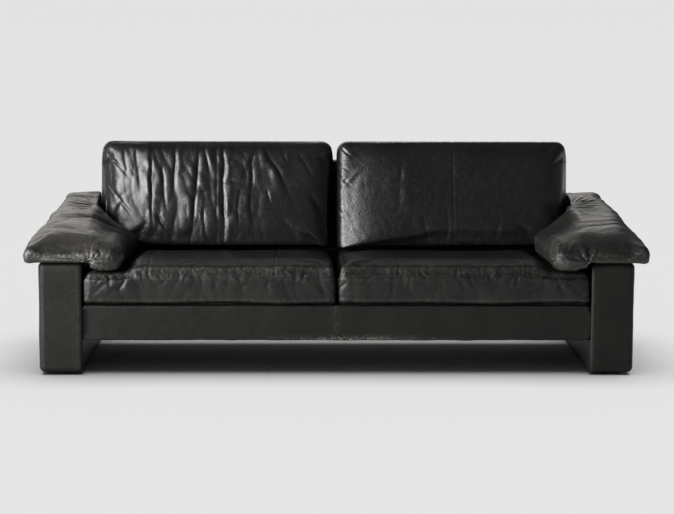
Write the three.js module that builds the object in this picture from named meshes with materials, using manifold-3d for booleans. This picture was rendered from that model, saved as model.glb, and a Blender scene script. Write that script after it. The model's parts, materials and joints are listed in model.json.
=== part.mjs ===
// A low two-seat leather sofa, in millimetres, +Z up, front facing -Y, standing on the floor at z = 0.
// Two upholstered slab sides carry a sprung wooden seat base and a leaning back frame. The seat and
// back cushions lie loose on them, and a soft pad is laid over each side as its armrest.
import * as THREE from "three";
import { mergeVertices } from "three/addons/utils/BufferGeometryUtils.js";
import Module from "manifold-3d";

const wasm = await Module();
wasm.setup();

// ---- Driving dimensions -------------------------------------------------------------------------
const FIT = 0.3; // gap left between pieces that touch
const SEAT_WIDTH = 1800; // clear width between the two sides

// Slab sides
const SIDE_THICK = 152;
const SIDE_FRONT = -410;
const SIDE_BACK = 420;
const SIDE_TOP_FRONT = 400;
const SIDE_TOP_BACK = 500;
const SIDE_SKIN = 20; // leather over foam
const SIDE_EDGE_ROUND = 14;
const SIDE_FOOT_ROUND = 24; // softer lower corners, worn round
const BASE_BOARD = 12;
const GLIDE_HEIGHT = 8;
const GLIDE_RADIUS = 20;
const GLIDE_INSET = 90; // from each end of the side

// Seat base
const BASE_BOTTOM = 124;
const BASE_TOP = 248;
const RAIL_THICK = 30;
const RAIL_BOTTOM = 130;
const RAIL_TOP = 240;
const END_GAP = 7; // dark gap between the front and rear rails' ends and the slab sides
const RAIL_FRONT = -396;
const RAIL_BACK = 320;
const STRAP_WIDTH = 50;
const STRAP_THICK = 2.5;
const SEAT_STRAPS_PER_HALF = 4;
const SEAT_STRAP_PITCH = 200;
const SEAT_STRAP_FIRST = 150; // from the middle of the sofa
const CLOTH_THICK = 2;
const APRON_SKIN = 7; // leather over felt
const APRON_TUCK = 62; // how far the leather turns in over and under its rail

// Back frame, standing on the rear rail
const BACK_SLOPE = Math.tan(THREE.MathUtils.degToRad(14));
const BACK_TOP = 700;
const BACK_REAR_AT_TOP = 440;
const BACK_THICK = 76; // measured level, front to back
const BACK_SKIN = 6;
const BACK_ROUND = 24;
const BACK_POST = 40;
const BACK_POST_DEPTH = 36;
const BACK_RAIL_HEIGHT = 42;
const BACK_STRAPS = 4;
const BACK_STRAP_PITCH = 88;
const BACK_STRAP_FIRST = 345; // centre height of the lowest one
const BACK_PADDING = 25;

// Loose cushions
const CUSHION_GAP = 3; // half the gap between the two places
const CUSHION_ROUND = 32;
const SEAT_FRONT = -418;
const SEAT_BACK = 232;
const SEAT_TOP_FRONT = 404;
const SEAT_TOP_BACK = 384;
const SEAT_SIDE_TOP = 380; // its outer edge is pressed down under the armrest's roll
const SEAT_SIDE_PRESSED = [690, 748]; // from the middle of the sofa
const BACK_CUSHION_TOP = 785;
const BACK_CUSHION_THICK = 184; // measured level
const BACK_CUSHION_SIDE = 886; // outer edge, from the middle of the sofa
const ZIP_WIDTH = 10;
const ZIP_THICK = 2;
const ZIP_LENGTH = 700;

// Arm pads
const PAD_FRONT = -440;
const PAD_BACK = 402;
const PAD_THICK_FRONT = 72;
const PAD_THICK_BACK = 84;
const PAD_OUTER_FRONT = 1100;
const PAD_OUTER_BACK = 1045;
const PAD_INNER_FRONT = 742;
const PAD_INNER_MIDDLE = 722;
const PAD_INNER_BACK = 895;
const PAD_ROLL_THICK = 97;
const PAD_SHOULDER = 890; // where the flat part starts to fall towards the roll
const PAD_END_ROUND = 26;
const PAD_END_INSET = 22;
const ROLL_CLEARANCE = 12; // to the back cushion's face
const PAD_ARC_STEPS = 6;
const PAD_FRONT_STATIONS = [-300, -180];
const PAD_REAR_STATION = 250;

// Fasteners
const BOLT_RADIUS = 4;
const BOLT_HOLE_RADIUS = 4.6;
const BOLT_HEAD_RADIUS = 7.5;
const BOLT_HEAD_HEIGHT = 6;
const SIDE_BOLT_HEIGHT = 185;
const SIDE_BOLT_PLACES = [-300, -40, 220];
const SIDE_BOLT_REACH = 45; // how deep it bites into the side's core
const BACK_BOLT_PLACES = [-830, 0, 830];

// ---- Worked out from them -----------------------------------------------------------------------
const HALF_SEAT = SEAT_WIDTH / 2;
const SIDE_OUTER = HALF_SEAT + SIDE_THICK;
const SIDE_SLOPE = (SIDE_TOP_BACK - SIDE_TOP_FRONT) / (SIDE_BACK - SIDE_FRONT);
const SIDES = { left: -1, right: 1 };
const RAIL_HALF_LENGTH = HALF_SEAT - END_GAP;
const DECK_BOTTOM = RAIL_TOP + STRAP_THICK + FIT;
const DECK_TOP = DECK_BOTTOM + CLOTH_THICK;
const SEAT_BOTTOM = BASE_TOP + FIT;
const BACK_BOTTOM = DECK_TOP + FIT;
const BACK_FRONT_AT_TOP = BACK_REAR_AT_TOP - BACK_THICK;
const BACK_HALF_WIDTH = RAIL_HALF_LENGTH;
const BACK_INSIDE_HALF = BACK_HALF_WIDTH - BACK_SKIN - FIT;
const BACK_RAIL_TOP = BACK_BOTTOM + BACK_RAIL_HEIGHT;
const BACK_CUSHION_BOTTOM = SEAT_TOP_FRONT + FIT;

const sideTop = (y) => SIDE_TOP_FRONT + (y - SIDE_FRONT) * SIDE_SLOPE;
// How far back the leaning front face of the back frame stands at height z.
const backFace = (z) => BACK_FRONT_AT_TOP + (z - BACK_TOP) * BACK_SLOPE;
const seatTop = (y) => THREE.MathUtils.mapLinear(y, SEAT_FRONT, SEAT_BACK, SEAT_TOP_FRONT, SEAT_TOP_BACK);

// ---- Materials ----------------------------------------------------------------------------------
const finish = (color, roughness, metalness = 0) =>
  new THREE.MeshStandardMaterial({ color, roughness, metalness });
const LEATHER = finish("#2b2a27", 0.42);
const CUSHION_LEATHER = finish("#26262a", 0.36);
const PAD_LEATHER = finish("#33312d", 0.44);
const WOOD = finish("#b58f63", 0.7);
const BOARD = finish("#3a2f25", 0.8);
const WEBBING = finish("#4a4038", 0.85);
const CLOTH = finish("#17171a", 0.95);
const FOAM = finish("#c9bd8d", 0.95);
const STEEL = finish("#8d9095", 0.35, 1);
const PLASTIC = finish("#141414", 0.5);

// ---- Shape helpers ------------------------------------------------------------------------------
const ACROSS = new THREE.Matrix4().makeBasis(
  new THREE.Vector3(0, 1, 0),
  new THREE.Vector3(0, 0, 1),
  new THREE.Vector3(1, 0, 0),
);
const FROM_FRONT = new THREE.Matrix4().makeBasis(
  new THREE.Vector3(1, 0, 0),
  new THREE.Vector3(0, 0, 1),
  new THREE.Vector3(0, -1, 0),
);

// A closed outline whose corners are rounded: each corner is [u, v] or [u, v, radius].
function outline(corners) {
  const shape = new THREE.Shape();
  corners.forEach(([u, v, radius = 0], i) => {
    const at = new THREE.Vector2(u, v);
    const [before, after] = [i - 1, i + 1].map((k) => {
      const [a, b] = corners.at(k % corners.length);
      return new THREE.Vector2(a, b).sub(at).setLength(radius).add(at);
    });
    if (i === 0) shape.moveTo(before.x, before.y);
    else shape.lineTo(before.x, before.y);
    if (radius > 0) shape.quadraticCurveTo(u, v, after.x, after.y);
  });
  return shape.closePath();
}

function extrude(shape, depth, turn, curveSegments = 5) {
  const made = new THREE.ExtrudeGeometry(shape, { depth, bevelEnabled: false, curveSegments });
  return turn ? made.applyMatrix4(turn) : made;
}

// A profile drawn in (y, z), extruded from x0 to x1.
const across = (corners, x0, x1) => extrude(outline(corners), x1 - x0, ACROSS).translate(x0, 0, 0);
// A profile drawn in (x, z), extruded from y0 to y1.
const frontToBack = (corners, y0, y1) =>
  extrude(outline(corners), y1 - y0, FROM_FRONT).translate(0, y1, 0);
// A profile drawn in (x, y), extruded from z0 to z1.
const upright = (corners, z0, z1) => extrude(outline(corners), z1 - z0).translate(0, 0, z0);

function block([x0, x1], [y0, y1], [z0, z1]) {
  const made = new THREE.BoxGeometry(x1 - x0, y1 - y0, z1 - z0);
  return made.translate((x0 + x1) / 2, (y0 + y1) / 2, (z0 + z1) / 2);
}

// The four corners of a piece that leans with the back, in (y, z). The depths are behind its front face.
const leaning = (depth0, depth1, z0, z1, topRound = 0) => [
  [backFace(z0) + depth0, z0],
  [backFace(z0) + depth1, z0],
  [backFace(z1) + depth1, z1, topRound],
  [backFace(z1) + depth0, z1, topRound],
];

function toSolid(geometry) {
  const bare = geometry.clone().deleteAttribute("normal").deleteAttribute("uv");
  const merged = mergeVertices(bare);
  return new wasm.Manifold(
    new wasm.Mesh({
      numProp: 3,
      vertProperties: new Float32Array(merged.attributes.position.array),
      triVerts: new Uint32Array(merged.index.array),
    }),
  );
}

function toGeometry(solid) {
  const { vertProperties, triVerts } = solid.getMesh();
  const made = new THREE.BufferGeometry();
  made.setAttribute("position", new THREE.BufferAttribute(vertProperties, 3));
  made.setIndex(new THREE.BufferAttribute(triVerts, 1));
  made.computeVertexNormals();
  return made;
}

const cut = (body, ...tools) =>
  toGeometry(tools.reduce((left, tool) => left.subtract(toSolid(tool)), toSolid(body)));
const overlap = (body, ...others) =>
  toGeometry(others.reduce((left, other) => left.intersect(toSolid(other)), toSolid(body)));
const join = (body, ...others) =>
  toGeometry(others.reduce((left, other) => left.add(toSolid(other)), toSolid(body)));

const sofa = new THREE.Group();

function add(name, geometry, material) {
  const mesh = new THREE.Mesh(geometry, material);
  mesh.name = name;
  sofa.add(mesh);
}

// A span of x drawn for the right-hand side, moved to the side asked for.
const spanOn = (side, inner, outer) => (side > 0 ? [inner, outer] : [-outer, -inner]);

// A round rod along X between two places, such as a bolt hole.
function rodAcross(radius, x0, x1, y, z, sides = 16) {
  const made = new THREE.CylinderGeometry(radius, radius, Math.abs(x1 - x0), sides);
  return made.rotateZ(Math.PI / 2).translate((x0 + x1) / 2, y, z);
}

function rodUpright(radius, z0, z1, x, y, sides = 16) {
  const made = new THREE.CylinderGeometry(radius, radius, z1 - z0, sides);
  return made.rotateX(Math.PI / 2).translate(x, y, (z0 + z1) / 2);
}

// ---- Slab sides ---------------------------------------------------------------------------------
// The holes that the side's fixing bolts pass through, from inside the seat base into the core.
const sideBoltHoles = (side) =>
  SIDE_BOLT_PLACES.map((y) =>
    rodAcross(
      BOLT_HOLE_RADIUS,
      side * (HALF_SEAT - RAIL_THICK - 2),
      side * (HALF_SEAT + SIDE_SKIN + SIDE_BOLT_REACH + 2),
      y,
      SIDE_BOLT_HEIGHT,
    ),
  );

// The slab's outline seen from the side, drawn smaller by inset.
function sideProfile(inset, bottom, round = 0) {
  const [front, back] = [SIDE_FRONT + inset, SIDE_BACK - inset];
  return [
    [front, bottom, round],
    [back, bottom, round],
    [back, sideTop(back) - inset],
    [front, sideTop(front) - inset],
  ];
}

function buildSide(name, side) {
  const outerSpan = spanOn(side, HALF_SEAT, SIDE_OUTER);
  const footRounds = spanOn(side, SIDE_EDGE_ROUND / 2, SIDE_FOOT_ROUND).map(Math.abs);
  const tall = SIDE_TOP_BACK + SIDE_SKIN;
  const fromSide = across(sideProfile(0, GLIDE_HEIGHT, SIDE_FOOT_ROUND), ...outerSpan);
  const fromFront = frontToBack(
    [
      [outerSpan[0], GLIDE_HEIGHT, footRounds[0]],
      [outerSpan[1], GLIDE_HEIGHT, footRounds[1]],
      [outerSpan[1], tall],
      [outerSpan[0], tall],
    ],
    SIDE_FRONT,
    SIDE_BACK,
  );
  const fromTop = upright(
    [
      [outerSpan[0], SIDE_FRONT, SIDE_EDGE_ROUND],
      [outerSpan[1], SIDE_FRONT, SIDE_EDGE_ROUND],
      [outerSpan[1], SIDE_BACK, SIDE_EDGE_ROUND],
      [outerSpan[0], SIDE_BACK, SIDE_EDGE_ROUND],
    ],
    GLIDE_HEIGHT,
    tall,
  );
  const slab = overlap(fromSide, fromFront, fromTop);
  const cavitySpan = [outerSpan[0] + SIDE_SKIN, outerSpan[1] - SIDE_SKIN];
  const cavity = across(sideProfile(SIDE_SKIN, GLIDE_HEIGHT - 1), ...cavitySpan);
  add(`${name}_side_cover`, cut(slab, cavity, ...sideBoltHoles(side)), LEATHER);

  const fillInset = SIDE_SKIN + FIT;
  const fillSpan = [outerSpan[0] + fillInset, outerSpan[1] - fillInset];
  const boardTop = GLIDE_HEIGHT + BASE_BOARD;
  const core = across(sideProfile(fillInset, boardTop + FIT), ...fillSpan);
  add(`${name}_side_core`, cut(core, ...sideBoltHoles(side)), WOOD);
  const boardEnds = [SIDE_FRONT + fillInset, SIDE_BACK - fillInset];
  add(`${name}_side_base_board`, block(fillSpan, boardEnds, [GLIDE_HEIGHT, boardTop]), BOARD);

  const glideX = (outerSpan[0] + outerSpan[1]) / 2;
  for (const [place, y] of [
    ["front", SIDE_FRONT + GLIDE_INSET],
    ["rear", SIDE_BACK - GLIDE_INSET],
  ]) {
    add(`${name}_${place}_glide`, rodUpright(GLIDE_RADIUS, 0, GLIDE_HEIGHT, glideX, y, 24), PLASTIC);
  }
}

// ---- Arm pads -----------------------------------------------------------------------------------
const ease = (t) => t * t * (3 - 2 * t);
// A value that eases from a to b as y goes from the first place to the second.
const easeAlong = ([from, to], a, b, y) =>
  a + (b - a) * ease(THREE.MathUtils.clamp((y - from) / (to - from), 0, 1));

// The roll has to stop short of the back cushion's leaning face. Its underside comes up level with the
// slab's top first, and then its inner edge moves out past the cushion's side.
const ROLL_END = backFace(BACK_CUSHION_BOTTOM) - BACK_CUSHION_THICK - ROLL_CLEARANCE;
const ROLL_LIFT = [ROLL_END - 110, ROLL_END - 40];
const ROLL_SWING = [ROLL_END - 60, ROLL_END];
const ROUNDED_END = [0, 0.15, 0.45, 1].map((t) => t * PAD_END_ROUND);
const PAD_STATIONS = [
  ...ROUNDED_END.map((depth) => PAD_FRONT + depth),
  ...PAD_FRONT_STATIONS,
  ROLL_LIFT[0],
  ROLL_END - 85,
  ROLL_SWING[0],
  ROLL_LIFT[1],
  ROLL_END - 20,
  ROLL_END,
  PAD_REAR_STATION,
  ...ROUNDED_END.map((depth) => PAD_BACK - depth).reverse(),
];

// How much the pad shrinks all round where its two ends are rounded off.
function padEndInset(y) {
  const fromEnd = Math.min(y - PAD_FRONT, PAD_BACK - y);
  const t = THREE.MathUtils.clamp(1 - fromEnd / PAD_END_ROUND, 0, 1);
  return PAD_END_INSET * (1 - Math.sqrt(1 - t * t));
}

// The pad's section at y: a flat part over the slab, and a roll that hangs inside it onto the seat.
function padSection(y) {
  const inset = padEndInset(y);
  const along = [SIDE_FRONT, SIDE_BACK];
  const bed = sideTop(y) + FIT + inset;
  const thick = easeAlong(along, PAD_THICK_FRONT, PAD_THICK_BACK, y) - 2 * inset;
  const outer = easeAlong(along, PAD_OUTER_FRONT, PAD_OUTER_BACK, y) - inset;
  const swelling = easeAlong([PAD_FRONT, ROLL_SWING[0]], PAD_INNER_FRONT, PAD_INNER_MIDDLE, y);
  const inner = easeAlong(ROLL_SWING, swelling, PAD_INNER_BACK, y) + inset;
  const rollBottom = easeAlong(ROLL_LIFT, SEAT_SIDE_TOP + FIT + inset, bed, y);
  const rollRadius = easeAlong(ROLL_LIFT, PAD_ROLL_THICK / 2 - inset, thick / 2, y);
  const arc = (x, z, radius, from, to) =>
    Array.from({ length: PAD_ARC_STEPS + 1 }, (_, i) => {
      const angle = from + ((to - from) * i) / PAD_ARC_STEPS;
      return [x + radius * Math.cos(angle), z + radius * Math.sin(angle)];
    });
  const step = Math.max(HALF_SEAT - 4, inner + rollRadius + 1);
  const shoulder = Math.max(PAD_SHOULDER, inner + rollRadius + 1);
  return [
    ...arc(outer - thick / 2, bed + thick / 2, thick / 2, -Math.PI / 2, Math.PI / 2),
    [shoulder, bed + thick],
    ...arc(inner + rollRadius, rollBottom + rollRadius, rollRadius, Math.PI / 2, 1.5 * Math.PI),
    [step, rollBottom],
    [step + 1, bed],
  ];
}

function buildArmPad(name, side) {
  const sections = PAD_STATIONS.map(padSection);
  const count = sections[0].length;
  const corners = sections.flatMap((section, ring) =>
    section.map(([x, z]) => [side * x, PAD_STATIONS[ring], z]),
  );
  const capFaces = (ring) => {
    const flat = sections[ring].map(([x, z]) => new THREE.Vector2(x, z));
    return THREE.ShapeUtils.triangulateShape(flat, []).map((face) => face.map((i) => ring * count + i));
  };
  const faces = [...capFaces(0), ...capFaces(sections.length - 1).map((face) => face.reverse())];
  for (let ring = 0; ring + 1 < sections.length; ring++) {
    for (let i = 0; i < count; i++) {
      const [a, b] = [ring * count + i, ring * count + ((i + 1) % count)];
      faces.push([a, b + count, b], [a, a + count, b + count]);
    }
  }
  const outward = faces.flatMap((face) => (side > 0 ? face : face.reverse()));
  const made = new THREE.BufferGeometry();
  made.setAttribute("position", new THREE.Float32BufferAttribute(corners.flat(), 3));
  made.setIndex(outward);
  made.computeVertexNormals();
  add(`${name}_arm_pad`, made, PAD_LEATHER);
}

// ---- Seat base ----------------------------------------------------------------------------------
const backBoltHoles = () =>
  BACK_BOLT_PLACES.map((x) =>
    rodUpright(BOLT_HOLE_RADIUS, BASE_BOTTOM - 1, BACK_RAIL_TOP + 1, x, RAIL_BACK - RAIL_THICK / 2),
  );

function buildSeatBase() {
  const railHeight = [RAIL_BOTTOM, RAIL_TOP];
  const full = [-RAIL_HALF_LENGTH, RAIL_HALF_LENGTH];
  const betweenRails = [RAIL_FRONT + RAIL_THICK + FIT, RAIL_BACK - RAIL_THICK - FIT];
  add("front_rail", block(full, [RAIL_FRONT, RAIL_FRONT + RAIL_THICK], railHeight), WOOD);
  const rear = block(full, [RAIL_BACK - RAIL_THICK, RAIL_BACK], railHeight);
  add("rear_rail", cut(rear, ...backBoltHoles()), WOOD);
  add("centre_rail", block([-RAIL_THICK / 2, RAIL_THICK / 2], betweenRails, railHeight), WOOD);
  for (const [name, side] of Object.entries(SIDES)) {
    const span = spanOn(side, HALF_SEAT - FIT - RAIL_THICK, HALF_SEAT - FIT);
    add(`${name}_rail`, cut(block(span, betweenRails, railHeight), ...sideBoltHoles(side)), WOOD);
  }

  const strapHeight = [RAIL_TOP + FIT, RAIL_TOP + FIT + STRAP_THICK];
  for (const [name, side] of Object.entries(SIDES)) {
    for (let i = 0; i < SEAT_STRAPS_PER_HALF; i++) {
      const x = side * (SEAT_STRAP_FIRST + i * SEAT_STRAP_PITCH);
      const strap = block([x - STRAP_WIDTH / 2, x + STRAP_WIDTH / 2], [RAIL_FRONT, RAIL_BACK], strapHeight);
      add(`${name}_seat_strap_${i + 1}`, strap, WEBBING);
    }
  }

  const deck = block(full, [RAIL_FRONT, RAIL_BACK], [DECK_BOTTOM, DECK_TOP]);
  add("seat_deck_cloth", cut(deck, ...backBoltHoles()), CLOTH);
  const underside = RAIL_BOTTOM - FIT;
  const tuckedBack = RAIL_BACK - APRON_TUCK;
  const dustCoverSpan = [RAIL_FRONT + APRON_TUCK + FIT, tuckedBack - FIT];
  add("dust_cover", block(full, dustCoverSpan, [underside - CLOTH_THICK, underside]), CLOTH);

  // Each apron is a skin over the outside of its rail, turned in below it. The front one also turns in
  // above, over the deck cloth.
  const [low, high] = [BASE_BOTTOM, BASE_TOP];
  const apronFront = RAIL_FRONT - APRON_SKIN - FIT;
  const frontApron = [
    [RAIL_FRONT + APRON_TUCK, high],
    [apronFront, high, SIDE_EDGE_ROUND / 2],
    [apronFront, low, SIDE_EDGE_ROUND / 2],
    [RAIL_FRONT + APRON_TUCK, low],
    [RAIL_FRONT + APRON_TUCK, underside],
    [RAIL_FRONT - FIT, underside],
    [RAIL_FRONT - FIT, DECK_TOP + FIT],
    [RAIL_FRONT + APRON_TUCK, DECK_TOP + FIT],
  ];
  add("front_apron", across(frontApron, ...full), LEATHER);
  const rearApron = [
    [tuckedBack, low],
    [RAIL_BACK + APRON_SKIN + FIT, low, SIDE_EDGE_ROUND / 2],
    [RAIL_BACK + APRON_SKIN + FIT, DECK_TOP],
    [RAIL_BACK + FIT, DECK_TOP],
    [RAIL_BACK + FIT, underside],
    [tuckedBack, underside],
  ];
  add("rear_apron", cut(across(rearApron, ...full), ...backBoltHoles()), LEATHER);
}

// ---- Back frame ---------------------------------------------------------------------------------
function buildBack() {
  const full = [-BACK_INSIDE_HALF, BACK_INSIDE_HALF];
  const insideTop = BACK_TOP - BACK_SKIN;
  const [insideFront, insideRear] = [BACK_SKIN, BACK_THICK - BACK_SKIN];
  const shellProfile = leaning(0, BACK_THICK, BACK_BOTTOM, BACK_TOP, BACK_ROUND);
  const shell = across(shellProfile, -BACK_HALF_WIDTH, BACK_HALF_WIDTH);
  const hollow = across(
    leaning(insideFront, insideRear, BACK_BOTTOM - 1, insideTop, BACK_ROUND / 2),
    -BACK_HALF_WIDTH + BACK_SKIN,
    BACK_HALF_WIDTH - BACK_SKIN,
  );
  add("back_cover", cut(shell, hollow), LEATHER);

  const bottomRail = across(
    leaning(insideFront + FIT, insideRear - FIT, BACK_BOTTOM, BACK_RAIL_TOP),
    ...full,
  );
  add("back_bottom_rail", cut(bottomRail, ...backBoltHoles()), WOOD);
  const postRear = insideRear - FIT;
  const postFront = postRear - BACK_POST_DEPTH;
  const postTop = insideTop - BACK_ROUND / 2;
  const posts = { left: -BACK_INSIDE_HALF, centre: -BACK_POST / 2, right: BACK_INSIDE_HALF - BACK_POST };
  for (const [name, x] of Object.entries(posts)) {
    const profile = leaning(postFront, postRear, BACK_RAIL_TOP + FIT, postTop - BACK_RAIL_HEIGHT);
    add(`back_${name}_post`, across(profile, x, x + BACK_POST), WOOD);
  }
  const topRail = leaning(postFront, postRear, postTop - BACK_RAIL_HEIGHT + FIT, postTop);
  add("back_top_rail", across(topRail, ...full), WOOD);

  const strapRear = postFront - FIT;
  for (let i = 0; i < BACK_STRAPS; i++) {
    const z = BACK_STRAP_FIRST + i * BACK_STRAP_PITCH;
    const strap = leaning(strapRear - STRAP_THICK, strapRear, z - STRAP_WIDTH / 2, z + STRAP_WIDTH / 2);
    add(`back_strap_${i + 1}`, across(strap, ...full), WEBBING);
  }
  const padding = leaning(insideFront + FIT, insideFront + BACK_PADDING - FIT, BACK_RAIL_TOP + FIT, postTop);
  add("back_padding", across(padding, ...full), FOAM);
}

// ---- Loose cushions -----------------------------------------------------------------------------
function buildCushions(name, side) {
  const seatSpan = spanOn(side, CUSHION_GAP, HALF_SEAT - CUSHION_GAP);
  const seatFromSide = [
    [SEAT_FRONT, SEAT_BOTTOM, CUSHION_ROUND / 2],
    [SEAT_BACK, SEAT_BOTTOM, CUSHION_ROUND / 2],
    [SEAT_BACK, SEAT_TOP_BACK, CUSHION_ROUND],
    [SEAT_FRONT, SEAT_TOP_FRONT, CUSHION_ROUND],
  ];
  const seatFromFront = [
    [CUSHION_GAP, SEAT_BOTTOM],
    [HALF_SEAT - CUSHION_GAP, SEAT_BOTTOM],
    [HALF_SEAT - CUSHION_GAP, SEAT_SIDE_TOP, CUSHION_ROUND / 2],
    [SEAT_SIDE_PRESSED[1], SEAT_SIDE_TOP],
    [SEAT_SIDE_PRESSED[0], SEAT_TOP_FRONT],
    [CUSHION_GAP, SEAT_TOP_FRONT, CUSHION_ROUND / 2],
  ].map(([x, z, radius]) => [side * x, z, radius]);
  const seat = overlap(across(seatFromSide, ...seatSpan), frontToBack(seatFromFront, SEAT_FRONT, SEAT_BACK));
  add(`${name}_seat_cushion`, seat, CUSHION_LEATHER);
  const middle = (side * HALF_SEAT) / 2;
  const zipSpan = [middle - ZIP_LENGTH / 2, middle + ZIP_LENGTH / 2];
  const seatZipHeight = (SEAT_BOTTOM + SEAT_TOP_BACK) / 2;
  const seatZip = block(
    zipSpan,
    [SEAT_BACK + FIT, SEAT_BACK + FIT + ZIP_THICK],
    [seatZipHeight - ZIP_WIDTH / 2, seatZipHeight + ZIP_WIDTH / 2],
  );
  add(`${name}_seat_zip`, seatZip, PLASTIC);

  const behind = -(ZIP_THICK + 3 * FIT);
  const leaningBox = leaning(behind - BACK_CUSHION_THICK, behind, BACK_CUSHION_BOTTOM, BACK_CUSHION_TOP);
  const rounds = [CUSHION_ROUND / 2, 0, CUSHION_ROUND, CUSHION_ROUND];
  const backFromSide = leaningBox.map(([y, z], i) => [y, z, rounds[i]]);
  const backSpan = spanOn(side, CUSHION_GAP, BACK_CUSHION_SIDE);
  add(`${name}_back_cushion`, across(backFromSide, ...backSpan), CUSHION_LEATHER);
  const backZipHeight = BACK_CUSHION_BOTTOM + 2 * CUSHION_ROUND;
  const backZip = leaning(behind + FIT, -2 * FIT, backZipHeight, backZipHeight + ZIP_WIDTH);
  add(`${name}_back_zip`, across(backZip, ...zipSpan), PLASTIC);
}

// ---- Fasteners ----------------------------------------------------------------------------------
function buildFasteners() {
  for (const [name, side] of Object.entries(SIDES)) {
    const head = side * (HALF_SEAT - RAIL_THICK - 2 * FIT);
    const tip = side * (HALF_SEAT + SIDE_SKIN + SIDE_BOLT_REACH);
    SIDE_BOLT_PLACES.forEach((y, i) => {
      const bolt = join(
        rodAcross(BOLT_HEAD_RADIUS, head - side * BOLT_HEAD_HEIGHT, head, y, SIDE_BOLT_HEIGHT, 6),
        rodAcross(BOLT_RADIUS, head - side, tip, y, SIDE_BOLT_HEIGHT, 12),
      );
      add(`${name}_side_bolt_${i + 1}`, bolt, STEEL);
    });
  }
  const [headTop, y] = [BASE_BOTTOM - FIT, RAIL_BACK - RAIL_THICK / 2];
  BACK_BOLT_PLACES.forEach((x, i) => {
    const bolt = join(
      rodUpright(BOLT_HEAD_RADIUS, headTop - BOLT_HEAD_HEIGHT, headTop, x, y, 6),
      rodUpright(BOLT_RADIUS, headTop - 1, BACK_RAIL_TOP - BOLT_HEAD_HEIGHT, x, y, 12),
    );
    add(`back_bolt_${i + 1}`, bolt, STEEL);
  });
}

buildSeatBase();
buildBack();
buildFasteners();
for (const [name, side] of Object.entries(SIDES)) {
  buildSide(name, side);
  buildCushions(name, side);
  buildArmPad(name, side);
}

// The origin is on the floor under the middle of the whole sofa.
const { min, max } = new THREE.Box3().setFromObject(sofa);
sofa.position.y = -(min.y + max.y) / 2;

export default sofa;
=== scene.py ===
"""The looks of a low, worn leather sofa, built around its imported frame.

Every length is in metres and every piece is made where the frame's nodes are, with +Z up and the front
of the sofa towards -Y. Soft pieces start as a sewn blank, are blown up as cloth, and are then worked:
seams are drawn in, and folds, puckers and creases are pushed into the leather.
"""

import json
import logging
import math
from dataclasses import dataclass, field
from enum import Enum

import bmesh
import bpy
import numpy as np
from mathutils import Matrix, Vector


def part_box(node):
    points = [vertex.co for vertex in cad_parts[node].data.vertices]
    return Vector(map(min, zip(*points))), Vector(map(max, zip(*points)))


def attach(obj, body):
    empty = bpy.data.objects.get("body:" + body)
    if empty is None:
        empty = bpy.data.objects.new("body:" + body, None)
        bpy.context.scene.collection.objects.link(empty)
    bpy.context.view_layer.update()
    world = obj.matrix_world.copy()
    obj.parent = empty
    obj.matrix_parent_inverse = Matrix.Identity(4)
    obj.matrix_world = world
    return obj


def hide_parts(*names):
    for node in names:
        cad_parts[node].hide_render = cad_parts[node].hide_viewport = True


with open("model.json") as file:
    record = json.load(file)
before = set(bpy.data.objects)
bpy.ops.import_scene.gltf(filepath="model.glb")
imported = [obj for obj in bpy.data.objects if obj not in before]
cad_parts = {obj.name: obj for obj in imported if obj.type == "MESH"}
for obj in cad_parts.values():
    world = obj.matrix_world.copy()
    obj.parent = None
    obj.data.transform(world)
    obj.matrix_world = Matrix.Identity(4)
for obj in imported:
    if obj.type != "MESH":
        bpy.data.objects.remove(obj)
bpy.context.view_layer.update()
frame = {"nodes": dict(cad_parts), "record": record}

LOG = logging.getLogger("sofa")
MM = 0.001
LEAN = math.radians(14)  # how far the back frame and its cushions lean
SIDE_SLOPE = 100 / 830  # how steeply the tops of the slab sides rise to the rear
FULL_RELIEF = 0.9 * MM  # a crest this high is rubbed as much as any, and a crease this deep is coloured as dark as any


class Side(Enum):
    """Which half of the sofa a piece belongs to, as the sign of its x."""

    LEFT = -1
    RIGHT = 1

    @property
    def word(self) -> str:
        """The side's name, as the frame's nodes have it."""
        return self.name.lower()


# ---- Numbers over a whole surface ----------------------------------------------------------------
def smooth(low: float, high: float, value: np.ndarray) -> np.ndarray:
    """Eases from 0 to 1 as value goes from low to high.

    Args:
        low: Where it starts, which may be above high.
        high: Where it ends.
        value: The numbers to ease.

    Returns:
        An array like value.
    """
    t = np.clip((value - low) / (high - low), 0, 1)
    return t * t * (3 - 2 * t)


def hump(value: np.ndarray, middle: float, reach: float) -> np.ndarray:
    """A bell that is 1 at middle and fades over reach."""
    return np.exp(-(((value - middle) / reach) ** 2))


def ripple(points: np.ndarray, wavelength: float, seed: int, waves: int = 16) -> np.ndarray:
    """A smooth random field of about -1 to 1.

    Args:
        points: One row of coordinates for each point.
        wavelength: The usual distance between two swells.
        seed: Picks the field.
        waves: How many plane waves are added up.

    Returns:
        One number for each point.
    """
    rng = np.random.default_rng(seed + 1000)
    ways = rng.normal(size=(waves, points.shape[1]))
    ways /= np.linalg.norm(ways, axis=1)[:, None]
    ways *= (2 * np.pi / (wavelength * rng.uniform(0.7, 1.6, waves)))[:, None]
    return np.sin(points @ ways.T + rng.uniform(0, 2 * np.pi, waves)).sum(1) / math.sqrt(2 * waves)


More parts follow.
